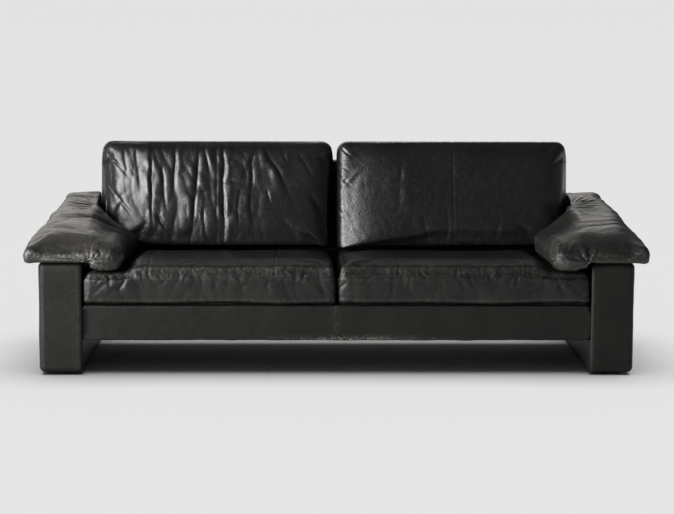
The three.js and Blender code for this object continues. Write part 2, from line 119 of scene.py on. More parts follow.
def drape(flat: np.ndarray, seed: int, spacing: float, stretch: float) -> np.ndarray:
    """Folds of slack leather: rounded swells that meet in sharp creases, drawn out one way.

    Args:
        flat: Each point's place across the folds and along them.
        seed: Picks the folds.
        spacing: The usual distance from one crease to the next.
        stretch: How many times longer the folds are than wide.

    Returns:
        Heights of about -0.5 to 0.8.
    """
    drawn = flat * [1, 1 / stretch]
    bend = np.stack([ripple(flat, 4 * spacing, seed + 1, 8), ripple(flat, 4 * spacing, seed + 2, 8)], axis=1)
    swells = ripple(drawn + 0.35 * spacing * bend, 2 * spacing, seed)
    return np.abs(swells) ** 0.8 - 0.5


@dataclass(frozen=True)
class Fold:
    """One crease pressed into a panel, with a soft shoulder on each side of it.

    It runs from start to end in the panel's own two directions, bowed sideways in its middle.
    """

    start: tuple[float, float]
    end: tuple[float, float]
    depth: float = 3 * MM
    width: float = 5 * MM
    bow: float = 0.0
    swell: float = 16 * MM  # how far from the crease its shoulders are highest
    shoulder: float = 0.6
    lean: float = 0.0  # above 0 the shoulder to the right of the path is the higher one
    wobble: float = 2 * MM
    fade: float = 0.35

    def press(self, flat: np.ndarray, seed: int) -> np.ndarray:
        """How far each point of the panel moves outwards.

        Args:
            flat: Each point's place in the panel's two directions.
            seed: Picks the fold's wobble.

        Returns:
            The moves in metres, below 0 in the crease.
        """
        start, end = np.array(self.start), np.array(self.end)
        run = end - start
        length = np.linalg.norm(run)
        way = run / length
        along = (flat - start) @ way / length
        aside = (flat - start) @ np.array([-way[1], way[0]])
        aside = -aside - self.bow * 4 * along * (1 - along)
        aside = aside - self.wobble * ripple(along[:, None] * length, 110 * MM, seed, 6)
        ends = smooth(-self.fade / 2, self.fade, along) * smooth(1 + self.fade / 2, 1 - self.fade, along)
        ends = ends * (0.8 + 0.4 * ripple(flat, 60 * MM, seed + 500, 8))
        valley = (0.6 * abs(self.lean) - 1) * np.exp(-(np.abs(aside / self.width) ** 1.5))
        far = np.abs(aside) / self.swell
        shoulders = far * np.exp(1 - far) * (1 + self.lean * np.tanh(aside / self.width))
        return self.depth * ends * (valley + self.shoulder * shoulders * np.exp(-(far / 2.5) ** 2))


def scatter_folds(
    seed: int,
    count: int,
    low: tuple[float, float],
    high: tuple[float, float],
    heading: float,
    spread: float,
    lengths: tuple[float, float],
    depths: tuple[float, float],
) -> list[Fold]:
    """Strews small creases over a patch of leather.

    Args:
        seed: Picks their places.
        count: How many.
        low: The patch's lowest corner.
        high: Its highest corner.
        heading: Their usual direction, in degrees from the panel's first direction.
        spread: How far they stray from it, in degrees.
        lengths: The shortest and the longest.
        depths: The shallowest and the deepest.

    Returns:
        The creases.
    """
    rng = np.random.default_rng(seed + 1000)
    folds = []
    for _ in range(count):
        middle = rng.uniform(low, high)
        angle = math.radians(heading + rng.normal() * spread)
        half = np.array([math.cos(angle), math.sin(angle)]) * rng.uniform(*lengths) / 2
        depth = rng.uniform(*depths)
        folds.append(
            Fold(
                tuple(middle - half),
                tuple(middle + half),
                depth=depth,
                width=rng.uniform(3.2, 6.0) * MM,
                bow=rng.normal() * np.linalg.norm(half) * 0.12,
                wobble=2 * MM,
                fade=0.4,
            )
        )
    return folds


# ---- Meshes --------------------------------------------------------------------------------------
def new_piece(name: str, bm: bmesh.types.BMesh) -> bpy.types.Object:
    """Turns a finished bmesh into an object in the scene.

    Args:
        name: What the object and its mesh are called.
        bm: The form, which is freed.

    Returns:
        The object.
    """
    mesh = bpy.data.meshes.new(name)
    bm.to_mesh(mesh)
    bm.free()
    piece = bpy.data.objects.new(name, mesh)
    bpy.context.scene.collection.objects.link(piece)
    return piece


def shade_smooth(piece: bpy.types.Object) -> None:
    """Shades every face of the piece smooth."""
    mesh = piece.data
    mesh.polygons.foreach_set("use_smooth", np.ones(len(mesh.polygons), bool))


def apply_modifiers(piece: bpy.types.Object) -> None:
    """Replaces the piece's mesh by what its modifiers make of it, and takes them off.

    Args:
        piece: The piece.
    """
    bpy.context.view_layer.update()
    evaluated = piece.evaluated_get(bpy.context.evaluated_depsgraph_get())
    made = bpy.data.meshes.new_from_object(evaluated)
    piece.modifiers.clear()
    old, piece.data = piece.data, made
    name = old.name
    bpy.data.meshes.remove(old)
    made.name = name


def node_form(name: str) -> bmesh.types.BMesh:
    """Copies the form of one of the frame's nodes.

    Args:
        name: The node.

    Returns:
        A bmesh whose triangles are joined up.
    """
    bm = bmesh.new()
    bm.from_mesh(frame["nodes"][name].data)
    bmesh.ops.remove_doubles(bm, verts=bm.verts, dist=1e-5)
    return bm


def plain_block(low: Vector, high: Vector) -> bmesh.types.BMesh:
    """Makes a block with sharp edges.

    Args:
        low: Its lowest corner.
        high: Its highest corner.

    Returns:
        The bmesh.
    """
    bm = bmesh.new()
    bmesh.ops.create_cube(bm, size=1.0)
    bmesh.ops.scale(bm, vec=high - low, verts=bm.verts)
    bmesh.ops.translate(bm, vec=(low + high) / 2, verts=bm.verts)
    return bm


def round_edges(bm: bmesh.types.BMesh, edges: list, radius: float, clamp: bool = False) -> None:
    """Rounds those of the edges that an earlier rounding has left.

    Args:
        bm: The form.
        edges: The edges.
        radius: How round they get.
        clamp: Whether the radius is kept from running into the next edge.
    """
    left = [e for e in edges if e.is_valid]
    how = {"affect": "EDGES", "segments": 5, "profile": 0.5, "material": -1, "clamp_overlap": clamp}
    bmesh.ops.bevel(bm, geom=left, offset=radius, **how)


def rounded_block(low: Vector, high: Vector, round_top: float, round_bottom: float) -> bmesh.types.BMesh:
    """A block whose upright and top edges are rounded more than the bottom ones.

    Args:
        low: Its lowest corner.
        high: Its highest corner.
        round_top: The radius of the upright and top edges.
        round_bottom: The radius of the bottom edges.

    Returns:
        The bmesh.
    """
    bm = plain_block(low, high)
    middle = (low.z + high.z) / 2
    bottom = [e for e in bm.edges if all(v.co.z < middle for v in e.verts)]
    others = [e for e in bm.edges if e not in bottom]
    round_edges(bm, others, round_top, clamp=True)
    round_edges(bm, bottom, round_bottom, clamp=True)
    return bm


class Surface:
    """The points of a piece while it is being worked."""

    def __init__(self, piece: bpy.types.Object) -> None:
        """Reads the piece's points and normals.

        Args:
            piece: The piece to work.
        """
        self.piece = piece
        self.mesh = piece.data
        self.co = self._read("co")
        self.normal = self._read("normal")

    def _read(self, what: str) -> np.ndarray:
        """Reads one kind of number from every vertex.

        Args:
            what: "co" or "normal".

        Returns:
            One row of three numbers for each vertex.
        """
        flat = np.empty(len(self.mesh.vertices) * 3, np.float32)
        self.mesh.vertices.foreach_get(what, flat)
        return flat.reshape(-1, 3).astype(float)

    @property
    def x(self) -> np.ndarray:
        """Every point's x."""
        return self.co[:, 0]

    @property
    def y(self) -> np.ndarray:
        """Every point's y."""
        return self.co[:, 1]

    @property
    def z(self) -> np.ndarray:
        """Every point's z."""
        return self.co[:, 2]

    def facing(self, axis: int, sign: int, low: float = 0.25, high: float = 0.7) -> np.ndarray:
        """How much each point faces one way along an axis, eased from 0 to 1."""
        return smooth(low, high, sign * self.normal[:, axis])

    def push(self, amount: np.ndarray) -> None:
        """Moves every point along its normal, and works the normals out again."""
        self.co += self.normal * amount[:, None]
        self.write()

    def write(self) -> None:
        """Puts the points back in the mesh and reads the new normals."""
        self.mesh.vertices.foreach_set("co", self.co.astype(np.float32).ravel())
        self.mesh.update()
        self.normal = self._read("normal")

    def _edges(self) -> np.ndarray:
        """Finds the two ends of every edge.

        Returns:
            One row of two vertex numbers for each edge.
        """
        ends = np.empty(len(self.mesh.edges) * 2, np.int32)
        self.mesh.edges.foreach_get("vertices", ends)
        return ends.reshape(-1, 2)

    def average(self, values: np.ndarray, rounds: int = 1) -> np.ndarray:
        """Takes each point's mean over its neighbours, again and again.

        Args:
            values: One number or row for each point.
            rounds: How many times.

        Returns:
            The means, in an array like values.
        """
        ends = self._edges()
        count = np.bincount(ends.ravel(), minlength=len(self.co)).astype(float)
        columns = values.reshape(len(self.co), -1)
        for _ in range(rounds):
            total = np.stack(
                [
                    np.bincount(ends[:, 0], column[ends[:, 1]], len(self.co))
                    + np.bincount(ends[:, 1], column[ends[:, 0]], len(self.co))
                    for column in columns.T
                ],
                axis=1,
            )
            columns = total / count[:, None]
        return columns.reshape(values.shape)

    def mark_wear(self) -> None:
        """Stores how far each point stands out of its surroundings, for the leather to read.

        The attribute "relief" is above 0 on crests, which are rubbed, and below 0 in creases, which are
        coloured darker.
        """
        around = self.average(self.co, 3)
        stand = ((self.co - around) * self.normal).sum(1)
        self._store("relief", np.clip(self.average(stand, 1) / FULL_RELIEF, -1, 1))

    def rub(self, amount: np.ndarray) -> None:
        """Stores in "rubbed" where the pigment has cracked and rubbed off, from 0 to 1."""
        self._store("rubbed", np.clip(amount, 0, 1))

    def _store(self, name: str, values: np.ndarray) -> None:
        """Keeps one number for each point under a name that materials can read."""
        attribute = self.mesh.attributes.new(name, "FLOAT", "POINT")
        attribute.data.foreach_set("value", values.astype(np.float32))


@dataclass(frozen=True)
class Inflation:
    """How a sewn blank is blown up as cloth."""

    pressure: float = 4.0
    cap: float = 22 * MM
    bending: float = 0.6
    tension: float = 18.0
    frames: int = 20

    def run(self, piece: bpy.types.Object, held: np.ndarray) -> None:
        """Blows the piece up, with gravity off, and keeps each point near where it began.

        Args:
            piece: The remeshed blank.
            held: How firmly each point is held, from 0 to 1, such as 1 along a seam.
        """
        scene = bpy.context.scene
        start = Surface(piece).co
        group = piece.vertex_groups.new(name="held")
        for level in np.unique(np.round(held, 1)):
            chosen = np.flatnonzero(np.round(held, 1) == level)
            group.add(chosen.tolist(), float(level), "REPLACE")
        cloth = piece.modifiers.new("Cloth", "CLOTH")
        settings = cloth.settings
        settings.quality = 5
        settings.mass = 0.3
        settings.tension_stiffness = self.tension
        settings.compression_stiffness = self.tension
        settings.shear_stiffness = 5.0
        settings.bending_stiffness = self.bending
        settings.use_pressure = True
        settings.uniform_pressure_force = self.pressure
        settings.effector_weights.gravity = 0
        settings.vertex_group_mass = group.name
        settings.pin_stiffness = 1.0
        cloth.collision_settings.use_collision = False
        cloth.point_cache.frame_start = 1
        cloth.point_cache.frame_end = self.frames
        for step in range(1, self.frames + 1):
            scene.frame_set(step)
        apply_modifiers(piece)
        piece.vertex_groups.clear()
        scene.frame_set(1)
        blown = Surface(piece)
        move = blown.co - start
        far = np.linalg.norm(move, axis=1, keepdims=True) + 1e-9
        blown.co = start + move * (self.cap * np.tanh(far / self.cap) / far)
        blown.write()


@dataclass
class SoftPiece:
    """A stuffed piece of leatherwork. Each kind says what its blank, shape and folds are."""

    side: Side
    material: bpy.types.Material
    voxel: float = 8 * MM
    inflation: Inflation = field(default_factory=Inflation)
    fill: float = 0.6
    shrink: float = 7 * MM  # the blank starts this much smaller all round, and swells to size

    kind = "soft_piece"
    slot = "cushion_leather"

    @property
    def node(self) -> str:
        """The frame's node that this piece stands for."""
        return f"{self.side.word}_{self.kind}"

    def blank(self) -> bmesh.types.BMesh:
        """The sewn blank before it is stuffed."""
        raise NotImplementedError

    def held(self, surface: Surface) -> np.ndarray:
        """How firmly each point of the blank is held while it is blown up."""
        raise NotImplementedError

    def shape(self, surface: Surface) -> None:
        """Gives the stuffed form its sag, crown, seams and folds."""
        raise NotImplementedError

    def build(self) -> bpy.types.Object:
        """Makes the piece and hands it to the frame.

        Returns:
            The finished object.
        """
        piece = new_piece(f"{self.node}_leather", self.blank())
        remesh = piece.modifiers.new("Remesh", "REMESH")
        remesh.mode = "VOXEL"
        remesh.voxel_size = self.voxel
        apply_modifiers(piece)
        self.inflation.run(piece, self.held(Surface(piece)))
        subdivision = piece.modifiers.new("Subdivision", "SUBSURF")
        subdivision.levels = subdivision.render_levels = 1
        apply_modifiers(piece)
        surface = Surface(piece)
        self.shape(surface)
        hand_over(surface, self.material, self.node)
        return piece


def hand_over(surface: Surface, material: bpy.types.Material, node: str) -> None:
    """Marks a piece's wear, dresses it, and puts it in the place of its node.

    Args:
        surface: The finished piece's points.
        material: Its finish.
        node: The frame's node that it stands for.
    """
    surface.mark_wear()
    piece = surface.piece
    shade_smooth(piece)
    piece.data.materials.clear()
    piece.data.materials.append(material)
    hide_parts(node)
    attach(piece, "root")
    LOG.info("%s: %d faces", piece.name, len(piece.data.polygons))


def draw_in(across: np.ndarray, depth: float, width: float) -> np.ndarray:
    """A seam's groove with the two turned-in edges standing beside it.

    Args:
        across: Each point's distance from the seam.
        depth: How deep the seam is drawn in.
        width: Half the groove's width.

    Returns:
        The moves in metres.
    """
    lips = hump(np.abs(across), 2.2 * width, 1.1 * width)
    return depth * (0.35 * lips - np.exp(-((across / width) ** 2)))


def puckers(along: np.ndarray, across: np.ndarray, seed: int, height: float, reach: float) -> np.ndarray:
    """The short folds that gather where leather is drawn into a seam.

    Args:
        along: Each point's place along the seam.
        across: Its distance from the seam.
        seed: Picks the gathers.
        height: How high the folds stand.
        reach: How far from the seam they fade out.

    Returns:
        The moves in metres.
    """
    distance = np.abs(across)
    slanted = np.stack([along + 0.5 * across, 0.28 * across], axis=1)
    gathers = np.tanh(1.6 * ripple(slanted, 26 * MM, seed, 12))
    strength = np.clip(0.45 + 0.55 * ripple(along[:, None], 160 * MM, seed + 1, 8), 0.1, 1.4)
    return height * gathers * strength * np.exp(-distance / reach) * smooth(0, 4 * MM, distance)


@dataclass
class SeatCushion(SoftPiece):
    """A loose seat cushion: a crowned top over a boxed front with three level seams."""

    voxel: float = 9 * MM
    fill: float = 0.7
    shrink: float = 3 * MM
    inflation: Inflation = field(default_factory=lambda: Inflation(cap=10 * MM))
    upper_seam: float = 352 * MM
    lower_seam: float = 281 * MM
    crest_seam: float = 390 * MM
    top_seams: tuple[float, float] = (0.24, 0.74)  # as shares of its width, from the sofa's middle
    crest: float = 401 * MM
    back_drop: float = 19 * MM
    pressed: float = 27 * MM  # how far the armrest's roll presses the outer edge down
    rear: float = 377 * MM  # how high it stands where the back cushion sits on it
    worn_line: float = 370 * MM  # where calves have rubbed the front

    kind = "seat_cushion"

    def blank(self) -> bmesh.types.BMesh:
        """Makes a block with rounded upper corners.

        Returns:
            The bmesh.
        """
        low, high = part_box(self.node)
        inset = Vector((self.shrink, self.shrink, 0))
        high = Vector((high.x, high.y, self.crest - self.shrink))
        return rounded_block(low + inset, high - inset, 18 * MM, 12 * MM)

    def held(self, surface: Surface) -> np.ndarray:
        """The upper seam is half held, and the flat bottom stays where it is."""
        seam = 0.7 * hump(surface.z, self.upper_seam, 5 * MM)
        return np.clip(np.maximum(seam, surface.facing(2, -1)), 0, 1)

    def shape(self, surface: Surface) -> None:
        """Slopes the top to the back, presses the outer edge down, and sews and creases the leather.

        Args:
            surface: The cushion's points.
        """
        low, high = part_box(self.node)
        seed = 20 + 9 * self.side.value
        width = high.x - low.x
        inward = (surface.x - low.x) / width if self.side is Side.RIGHT else (high.x - surface.x) / width
        back = smooth(low.y + 40 * MM, high.y, surface.y)

        # The top: hollow where people sit, pressed down under the armrest, lower at its corners and rear.
        lift = smooth(low.z + 60 * MM, self.crest, surface.z)
        seat_hollow = -8 * MM * hump(inward, 0.5, 0.33) * hump(back, 0.5, 0.3)
        pressed = -self.pressed * smooth(0.77, 0.85, inward)
        corners = -6 * MM * (smooth(0.06, 0.0, inward) + smooth(0.94, 1.0, inward))
        surface.co[:, 2] += lift * (seat_hollow + pressed + corners - self.back_drop * back)
        surface.write()

        # The level seams of the boxed front and its sides.
        upright = np.clip(1 - surface.facing(2, 1) - surface.facing(2, -1), 0, 1)
        around = surface.x + surface.y
        seams = ((self.upper_seam, 1.4 * MM), (self.lower_seam, 0.5 * MM))
        for index, (seam, depth) in enumerate(seams):
            across = surface.z - seam + 1.5 * MM * ripple(surface.co, 300 * MM, seed + index)
            move = draw_in(across, depth, 3.6 * MM)
            move += puckers(around, across, seed + 2 + index, 0.7 * depth, 16 * MM)
            surface.push(upright * move)

        # The seam just under the crest, and the two that run back over the top.
        edge = smooth(low.y + 34 * MM, low.y + 22 * MM, surface.y)
        across = surface.z - self.crest_seam + 1.2 * MM * ripple(surface.co, 160 * MM, seed + 3)
        move = puckers(surface.x, across, seed + 5, 0.6 * MM, 10 * MM) - 2.6 * MM * hump(across, 0, 3.6 * MM)
        surface.push(edge * move)
        top = np.clip(1 - surface.facing(2, -1), 0, 1)
        top *= smooth(self.upper_seam, self.upper_seam + 9 * MM, surface.z)
        for index, place in enumerate(self.top_seams):
            across = (inward - place) * width + 3 * MM * ripple(surface.co, 200 * MM, seed + 4 + index)
            move = draw_in(across, 1.5 * MM, 3.6 * MM)
            move += puckers(surface.y - surface.z, across, seed + 6 + index, 0.9 * MM, 20 * MM)
            surface.push(top * move)

        # Creases, more of them near the front edge.
        self._crease_front(surface, seed)
        over = surface.co[:, [0, 1]]
        surface.push(surface.facing(2, 1) * 1.3 * MM * drape(over, seed + 10, 120 * MM, 1.6))
        rumpled = smooth(low.y + 130 * MM, low.y + 30 * MM, surface.y)
        surface.push(surface.facing(2, 1) * rumpled * 1.8 * MM * drape(over, seed + 13, 34 * MM, 1.3))
        self._rest(surface, low, high)

        # Pigment rubbed off in patches along the front.
        patchy = 0.5 + 0.5 * ripple(surface.co[:, :1], 170 * MM, seed + 80)
        line = hump(surface.z, self.worn_line, 0.016) * smooth(low.y + 40 * MM, low.y + 10 * MM, surface.y)
        surface.rub(0.6 * line * patchy)

    def _crease_front(self, surface: Surface, seed: int) -> None:
        """Creases the front upright, most of all in the band above the upper seam.

        Args:
            surface: The cushion's points.
            seed: Picks the creases.
        """
        low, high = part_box(self.node)
        front = surface.facing(1, -1, 0.2, 0.6)
        face = surface.co[:, [0, 2]]
        band = smooth(self.upper_seam - 6 * MM, self.upper_seam + 10 * MM, surface.z)
        surface.push(front * (2.3 - 0.9 * band) * MM * drape(face, seed + 20, 40 * MM, 2.6))
        slanted = np.stack([face[:, 0] + face[:, 1], face[:, 0] - face[:, 1]], axis=1) / math.sqrt(2)
        surface.push(front * band * 1.5 * MM * drape(slanted, seed + 25, 11 * MM, 2.4))
        creases = scatter_folds(
            seed + 23,
            30,
            (low.x, 300 * MM),
            (high.x, 365 * MM),
            heading=78,
            spread=26,
            lengths=(24 * MM, 60 * MM),
            depths=(0.8 * MM, 2.2 * MM),
        )
        move = sum(fold.press(face, seed + i) for i, fold in enumerate(creases))
        surface.push(front * move)
        slack = hump(surface.x, (low.x + high.x) / 2, 0.3) * smooth(0.33, 0.27, surface.z)
        surface.push(front * slack * 2.5 * MM * ripple(surface.co[:, :1], 240 * MM, seed + 60))

    def _rest(self, surface: Surface, low: Vector, high: Vector) -> None:
        """Flattens it where it lies on the deck and against its neighbours.

        Args:
            surface: The cushion's points.
            low: The lowest corner of its node.
            high: The highest one.
        """
        surface.co[:, 2] = np.maximum(surface.z, low.z + 1 * MM)
        wave = 3 * MM * ripple(surface.co[:, :1], 420 * MM, 77)
        tucked = smooth(low.z + 19 * MM + 1, low.z + 7 * MM + 1, surface.z + 1 + wave) ** 2
        surface.co[:, 1] += 16 * MM * tucked * smooth(low.y + 60 * MM, low.y + 30 * MM, surface.y)
        surface.co[:, 0] = np.clip(surface.x, low.x, high.x)
        surface.co[:, 1] = np.minimum(surface.y, high.y + 1 * MM)
        under_back = smooth(0.04, 0.09, surface.y) * (surface.z > self.upper_seam)
        surface.co[:, 2] -= under_back * np.maximum(surface.z - self.rear, 0)
        surface.write()


@dataclass
class BackCushion(SoftPiece):
    """A loose back cushion: a plump front with one upright seam, leaning back."""

    voxel: float = 8 * MM
    fill: float = 0.55
    shrink: float = 5 * MM
    inflation: Inflation = field(default_factory=lambda: Inflation(cap=16 * MM))
    corner: float = 40 * MM
    thick: float = 178 * MM
    turned: float = 16 * MM  # how far the left cushion's outer end falls back
    plump: float = 16 * MM  # how far its front stands out
    sink: float = 26 * MM  # how far its weight presses the rear of the seat down

    kind = "back_cushion"

    def __post_init__(self) -> None:
        """Works out the cushion's own size, unleaned, from the box of its node."""
        self.low, self.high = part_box(self.node)
        self.tall = (self.high.z - self.low.z) / math.cos(LEAN)
        self.wide = self.high.x - self.low.x

    def blank(self) -> bmesh.types.BMesh:
        """Makes a standing block, centred across, with its rear at y = 0 and its bottom at z = 0.

        Returns:
            The bmesh.
        """
        half = self.wide / 2 - self.shrink
        low = Vector((-half, -self.thick + 12 * MM, 0))
        high = Vector((half, -2 * MM, self.tall - self.shrink))
        return rounded_block(low, high, self.corner, 7 * MM)

    def held(self, surface: Surface) -> np.ndarray:
        """Holds the narrow top flat, and the back where it is.

        Args:
            surface: The blank's points.

        Returns:
            How firmly each point is held, from 0 to 1.
        """
        held = np.maximum(0.8 * surface.facing(2, 1, 0.6, 0.95), surface.facing(1, 1))
        if self.side is Side.RIGHT:
            held = np.maximum(held, 0.6 * smooth(-0.90, -0.96, surface.x / (self.wide / 2)))
        return np.clip(held, 0, 1)

    def _at(self, across: float, up: float) -> tuple[float, float]:
        """The place in the front at shares of its width and its height."""
        return ((across - 0.5) * self.wide, up * self.tall)

    def folds(self) -> list[Fold]:
        """Lists the long creases in the front, as the side's own wear has set them.

        Returns:
            The creases.
        """
        at = self._at
        if self.side is Side.LEFT:
            return [
                Fold(at(0.222, 0.93), at(0.228, 0.20), 6.5 * MM, 7 * MM, 2 * MM, swell=15 * MM, lean=0.85),
                Fold(at(0.325, 0.92), at(0.318, 0.45), 4.5 * MM, 5 * MM, swell=22 * MM, lean=-0.5),
                Fold(at(0.425, 0.92), at(0.388, 0.06), 7 * MM, 9 * MM, -5 * MM, swell=18 * MM, lean=0.6),
                Fold(at(0.440, 0.94), at(0.475, 0.62), 3 * MM, 5 * MM, swell=18 * MM, lean=-0.4),
                Fold(at(0.530, 0.90), at(0.535, 0.06), 6 * MM, 8 * MM, 2 * MM, swell=19 * MM, lean=-0.2),
                Fold(at(0.660, 0.92), at(0.645, 0.24), 4 * MM, 8 * MM, 3 * MM, swell=14 * MM, lean=0.85),
                Fold(at(0.695, 0.90), at(0.815, 0.44), 6 * MM, 9 * MM, -4 * MM, swell=22 * MM, lean=0.9),
                Fold(at(0.030, 0.86), at(0.130, 0.60), 4 * MM, 3.5 * MM, 2 * MM, swell=14 * MM),
                Fold(at(0.015, 0.60), at(0.140, 0.30), 4.5 * MM, 3.5 * MM, 2 * MM, swell=16 * MM),
                Fold(at(0.105, 0.90), at(0.120, 0.64), 3.5 * MM, 5 * MM, 2 * MM, swell=16 * MM, lean=0.5),
                Fold(at(0.155, 0.88), at(0.175, 0.52), 4 * MM, 6 * MM, 2 * MM, swell=15 * MM, lean=0.7),
                Fold(at(0.270, 0.72), at(0.285, 0.36), 3.5 * MM, 5 * MM, 3 * MM, swell=16 * MM, lean=0.3),
                Fold(at(0.470, 0.58), at(0.670, 0.55), 2 * MM, 4 * MM, 2 * MM, swell=12 * MM),
                Fold(at(0.445, 0.36), at(0.455, 0.12), 3.5 * MM, 5 * MM, 3 * MM, swell=12 * MM, lean=0.3),
                Fold(at(0.240, 0.34), at(0.300, 0.16), 3.5 * MM, 6 * MM, 5 * MM, swell=18 * MM),
                Fold(at(0.600, 0.50), at(0.590, 0.16), 2.2 * MM, 7 * MM, 2 * MM, swell=14 * MM, lean=0.7),
                Fold(at(0.710, 0.50), at(0.740, 0.36), 2.5 * MM, 5 * MM, 2 * MM, swell=12 * MM),
                Fold(at(0.775, 0.92), at(0.795, 0.76), 2 * MM, 4 * MM, 2 * MM, swell=10 * MM),
                Fold(at(0.850, 0.84), at(0.920, 0.58), 1.8 * MM, 5 * MM, 3 * MM, swell=14 * MM),
            ]
        nicks = (
            (at(0.010, 0.93), at(0.080, 0.79), 2.4 * MM),
            (at(0.005, 0.77), at(0.060, 0.67), 2.4 * MM),
            (at(0.010, 0.64), at(0.070, 0.52), 2.4 * MM),
            (at(0.060, 0.62), at(0.015, 0.50), 2.0 * MM),
            (at(0.005, 0.36), at(0.050, 0.26), 2.0 * MM),
        )
        return [Fold(*nick, 3.5 * MM, 2 * MM, swell=9 * MM) for nick in nicks] + [
            Fold(at(0.285, 0.76), at(0.270, 0.34), 2.0 * MM, 12 * MM, 3 * MM, swell=34 * MM, lean=-0.6),
            Fold(at(0.370, 0.30), at(0.400, 0.06), 1.6 * MM, 9 * MM, 3 * MM, swell=22 * MM),
            Fold(at(0.475, 0.30), at(0.470, 0.05), 1.6 * MM, 9 * MM, -3 * MM, swell=20 * MM),
            Fold(at(0.700, 0.26), at(0.680, 0.06), 1.4 * MM, 9 * MM, 3 * MM, swell=20 * MM),
        ]

    def shape(self, surface: Surface) -> None:
        """Crowns, sews and creases the cushion, and leans it back on the frame.

        Args:
            surface: The cushion's points.
        """
        half = self.wide / 2
        seed = 50 + 11 * self.side.value
        across, up = surface.x / half, np.clip(surface.z / self.tall, 0, 1)

        # The front stands out in the middle, and the left cushion's outer end falls back.
        flatness = 2.4 if self.side is Side.LEFT else 5.0
        belly = np.clip(1 - np.abs(across) ** flatness, 0, 1) * 1.7 * up**0.08 * (1 - up) ** 0.6
        filled = 6 * MM * smooth(0.24, 0.03, up)
        surface.co[:, 1] -= surface.facing(1, -1, 0, 0.6) * (belly * self.plump + filled)
        if self.side is Side.LEFT:
            surface.co[:, 1] += surface.facing(1, -1, 0, 0.6) * smooth(-0.60, -1.0, across) * self.turned
        surface.write()

        # One upright seam down the middle.
        front = surface.facing(1, -1, 0.15, 0.6)
        seam = surface.x + 1.5 * MM * ripple(surface.co, 180 * MM, 5)
        upright = np.clip(front + surface.facing(2, 1), 0, 1)
        move = draw_in(seam, 0.8 * MM, 3.4 * MM) - 0.5 * MM * np.exp(-np.abs(seam) / (20 * MM))
        move += front * puckers(surface.z, seam, seed, 0.8 * MM, 20 * MM)
        surface.push(upright * move)

        # Single folds, then slack leather between them, and gathers down the left end.
        face = surface.co[:, [0, 2]]
        move = sum(fold.press(face, seed + i) for i, fold in enumerate(self.folds()))
        surface.push(front * move)
        busy = self.side is Side.LEFT
        calm = smooth(0.97, 0.86, up) * smooth(0.02, 0.14, up)
        if busy:
            calm = calm * (0.12 + 0.88 * smooth(0.55, 0.30, across))
        surface.push(front * calm * (3.0 if busy else 0.6) * MM * drape(face, seed + 30, 62 * MM, 2.8))
        surface.push(front * calm * (1.6 if busy else 0.5) * MM * drape(face, seed + 33, 26 * MM, 2.0))
        gathered = smooth(0.80, 0.97, -across) * smooth(0.95, 0.8, up)
        surface.push(front * gathered * 1.0 * MM * drape(face[:, ::-1], seed + 36, 26 * MM, 2.2))
        self._lean(surface)
        self._settle(surface)

    def _lean(self, surface: Surface) -> None:
        """Leans the cushion back, keeping its bottom level where it sits on the seat.

        Args:
            surface: The cushion's points.
        """
        level = smooth(0.0, 0.7 * self.tall, surface.z)
        y, z = surface.y.copy(), surface.z.copy()
        rear = self.high.y - self.tall * math.sin(LEAN) - 2 * MM
        surface.co[:, 0] += (self.low.x + self.high.x) / 2
        surface.co[:, 1] = rear + y * math.cos(LEAN) + z * math.sin(LEAN)
        surface.co[:, 2] = z * math.cos(LEAN) - y * math.sin(LEAN) * level
        surface.write()

    def _settle(self, surface: Surface) -> None:
        """Fits its height between the seat and its node's top, and keeps it off its neighbours.

        Args:
            surface: The cushion's points.
        """
        bottom, top = surface.z.min(), np.percentile(surface.z, 99.7)
        share = (surface.z - bottom) / (top - bottom)
        seat = self.low.z - self.sink
        surface.co[:, 2] = seat + share * (self.high.z - 1 * MM - seat)
        surface.co[:, 0] = np.clip(surface.x, self.low.x - 1 * MM, self.high.x + 1 * MM)
        surface.write()


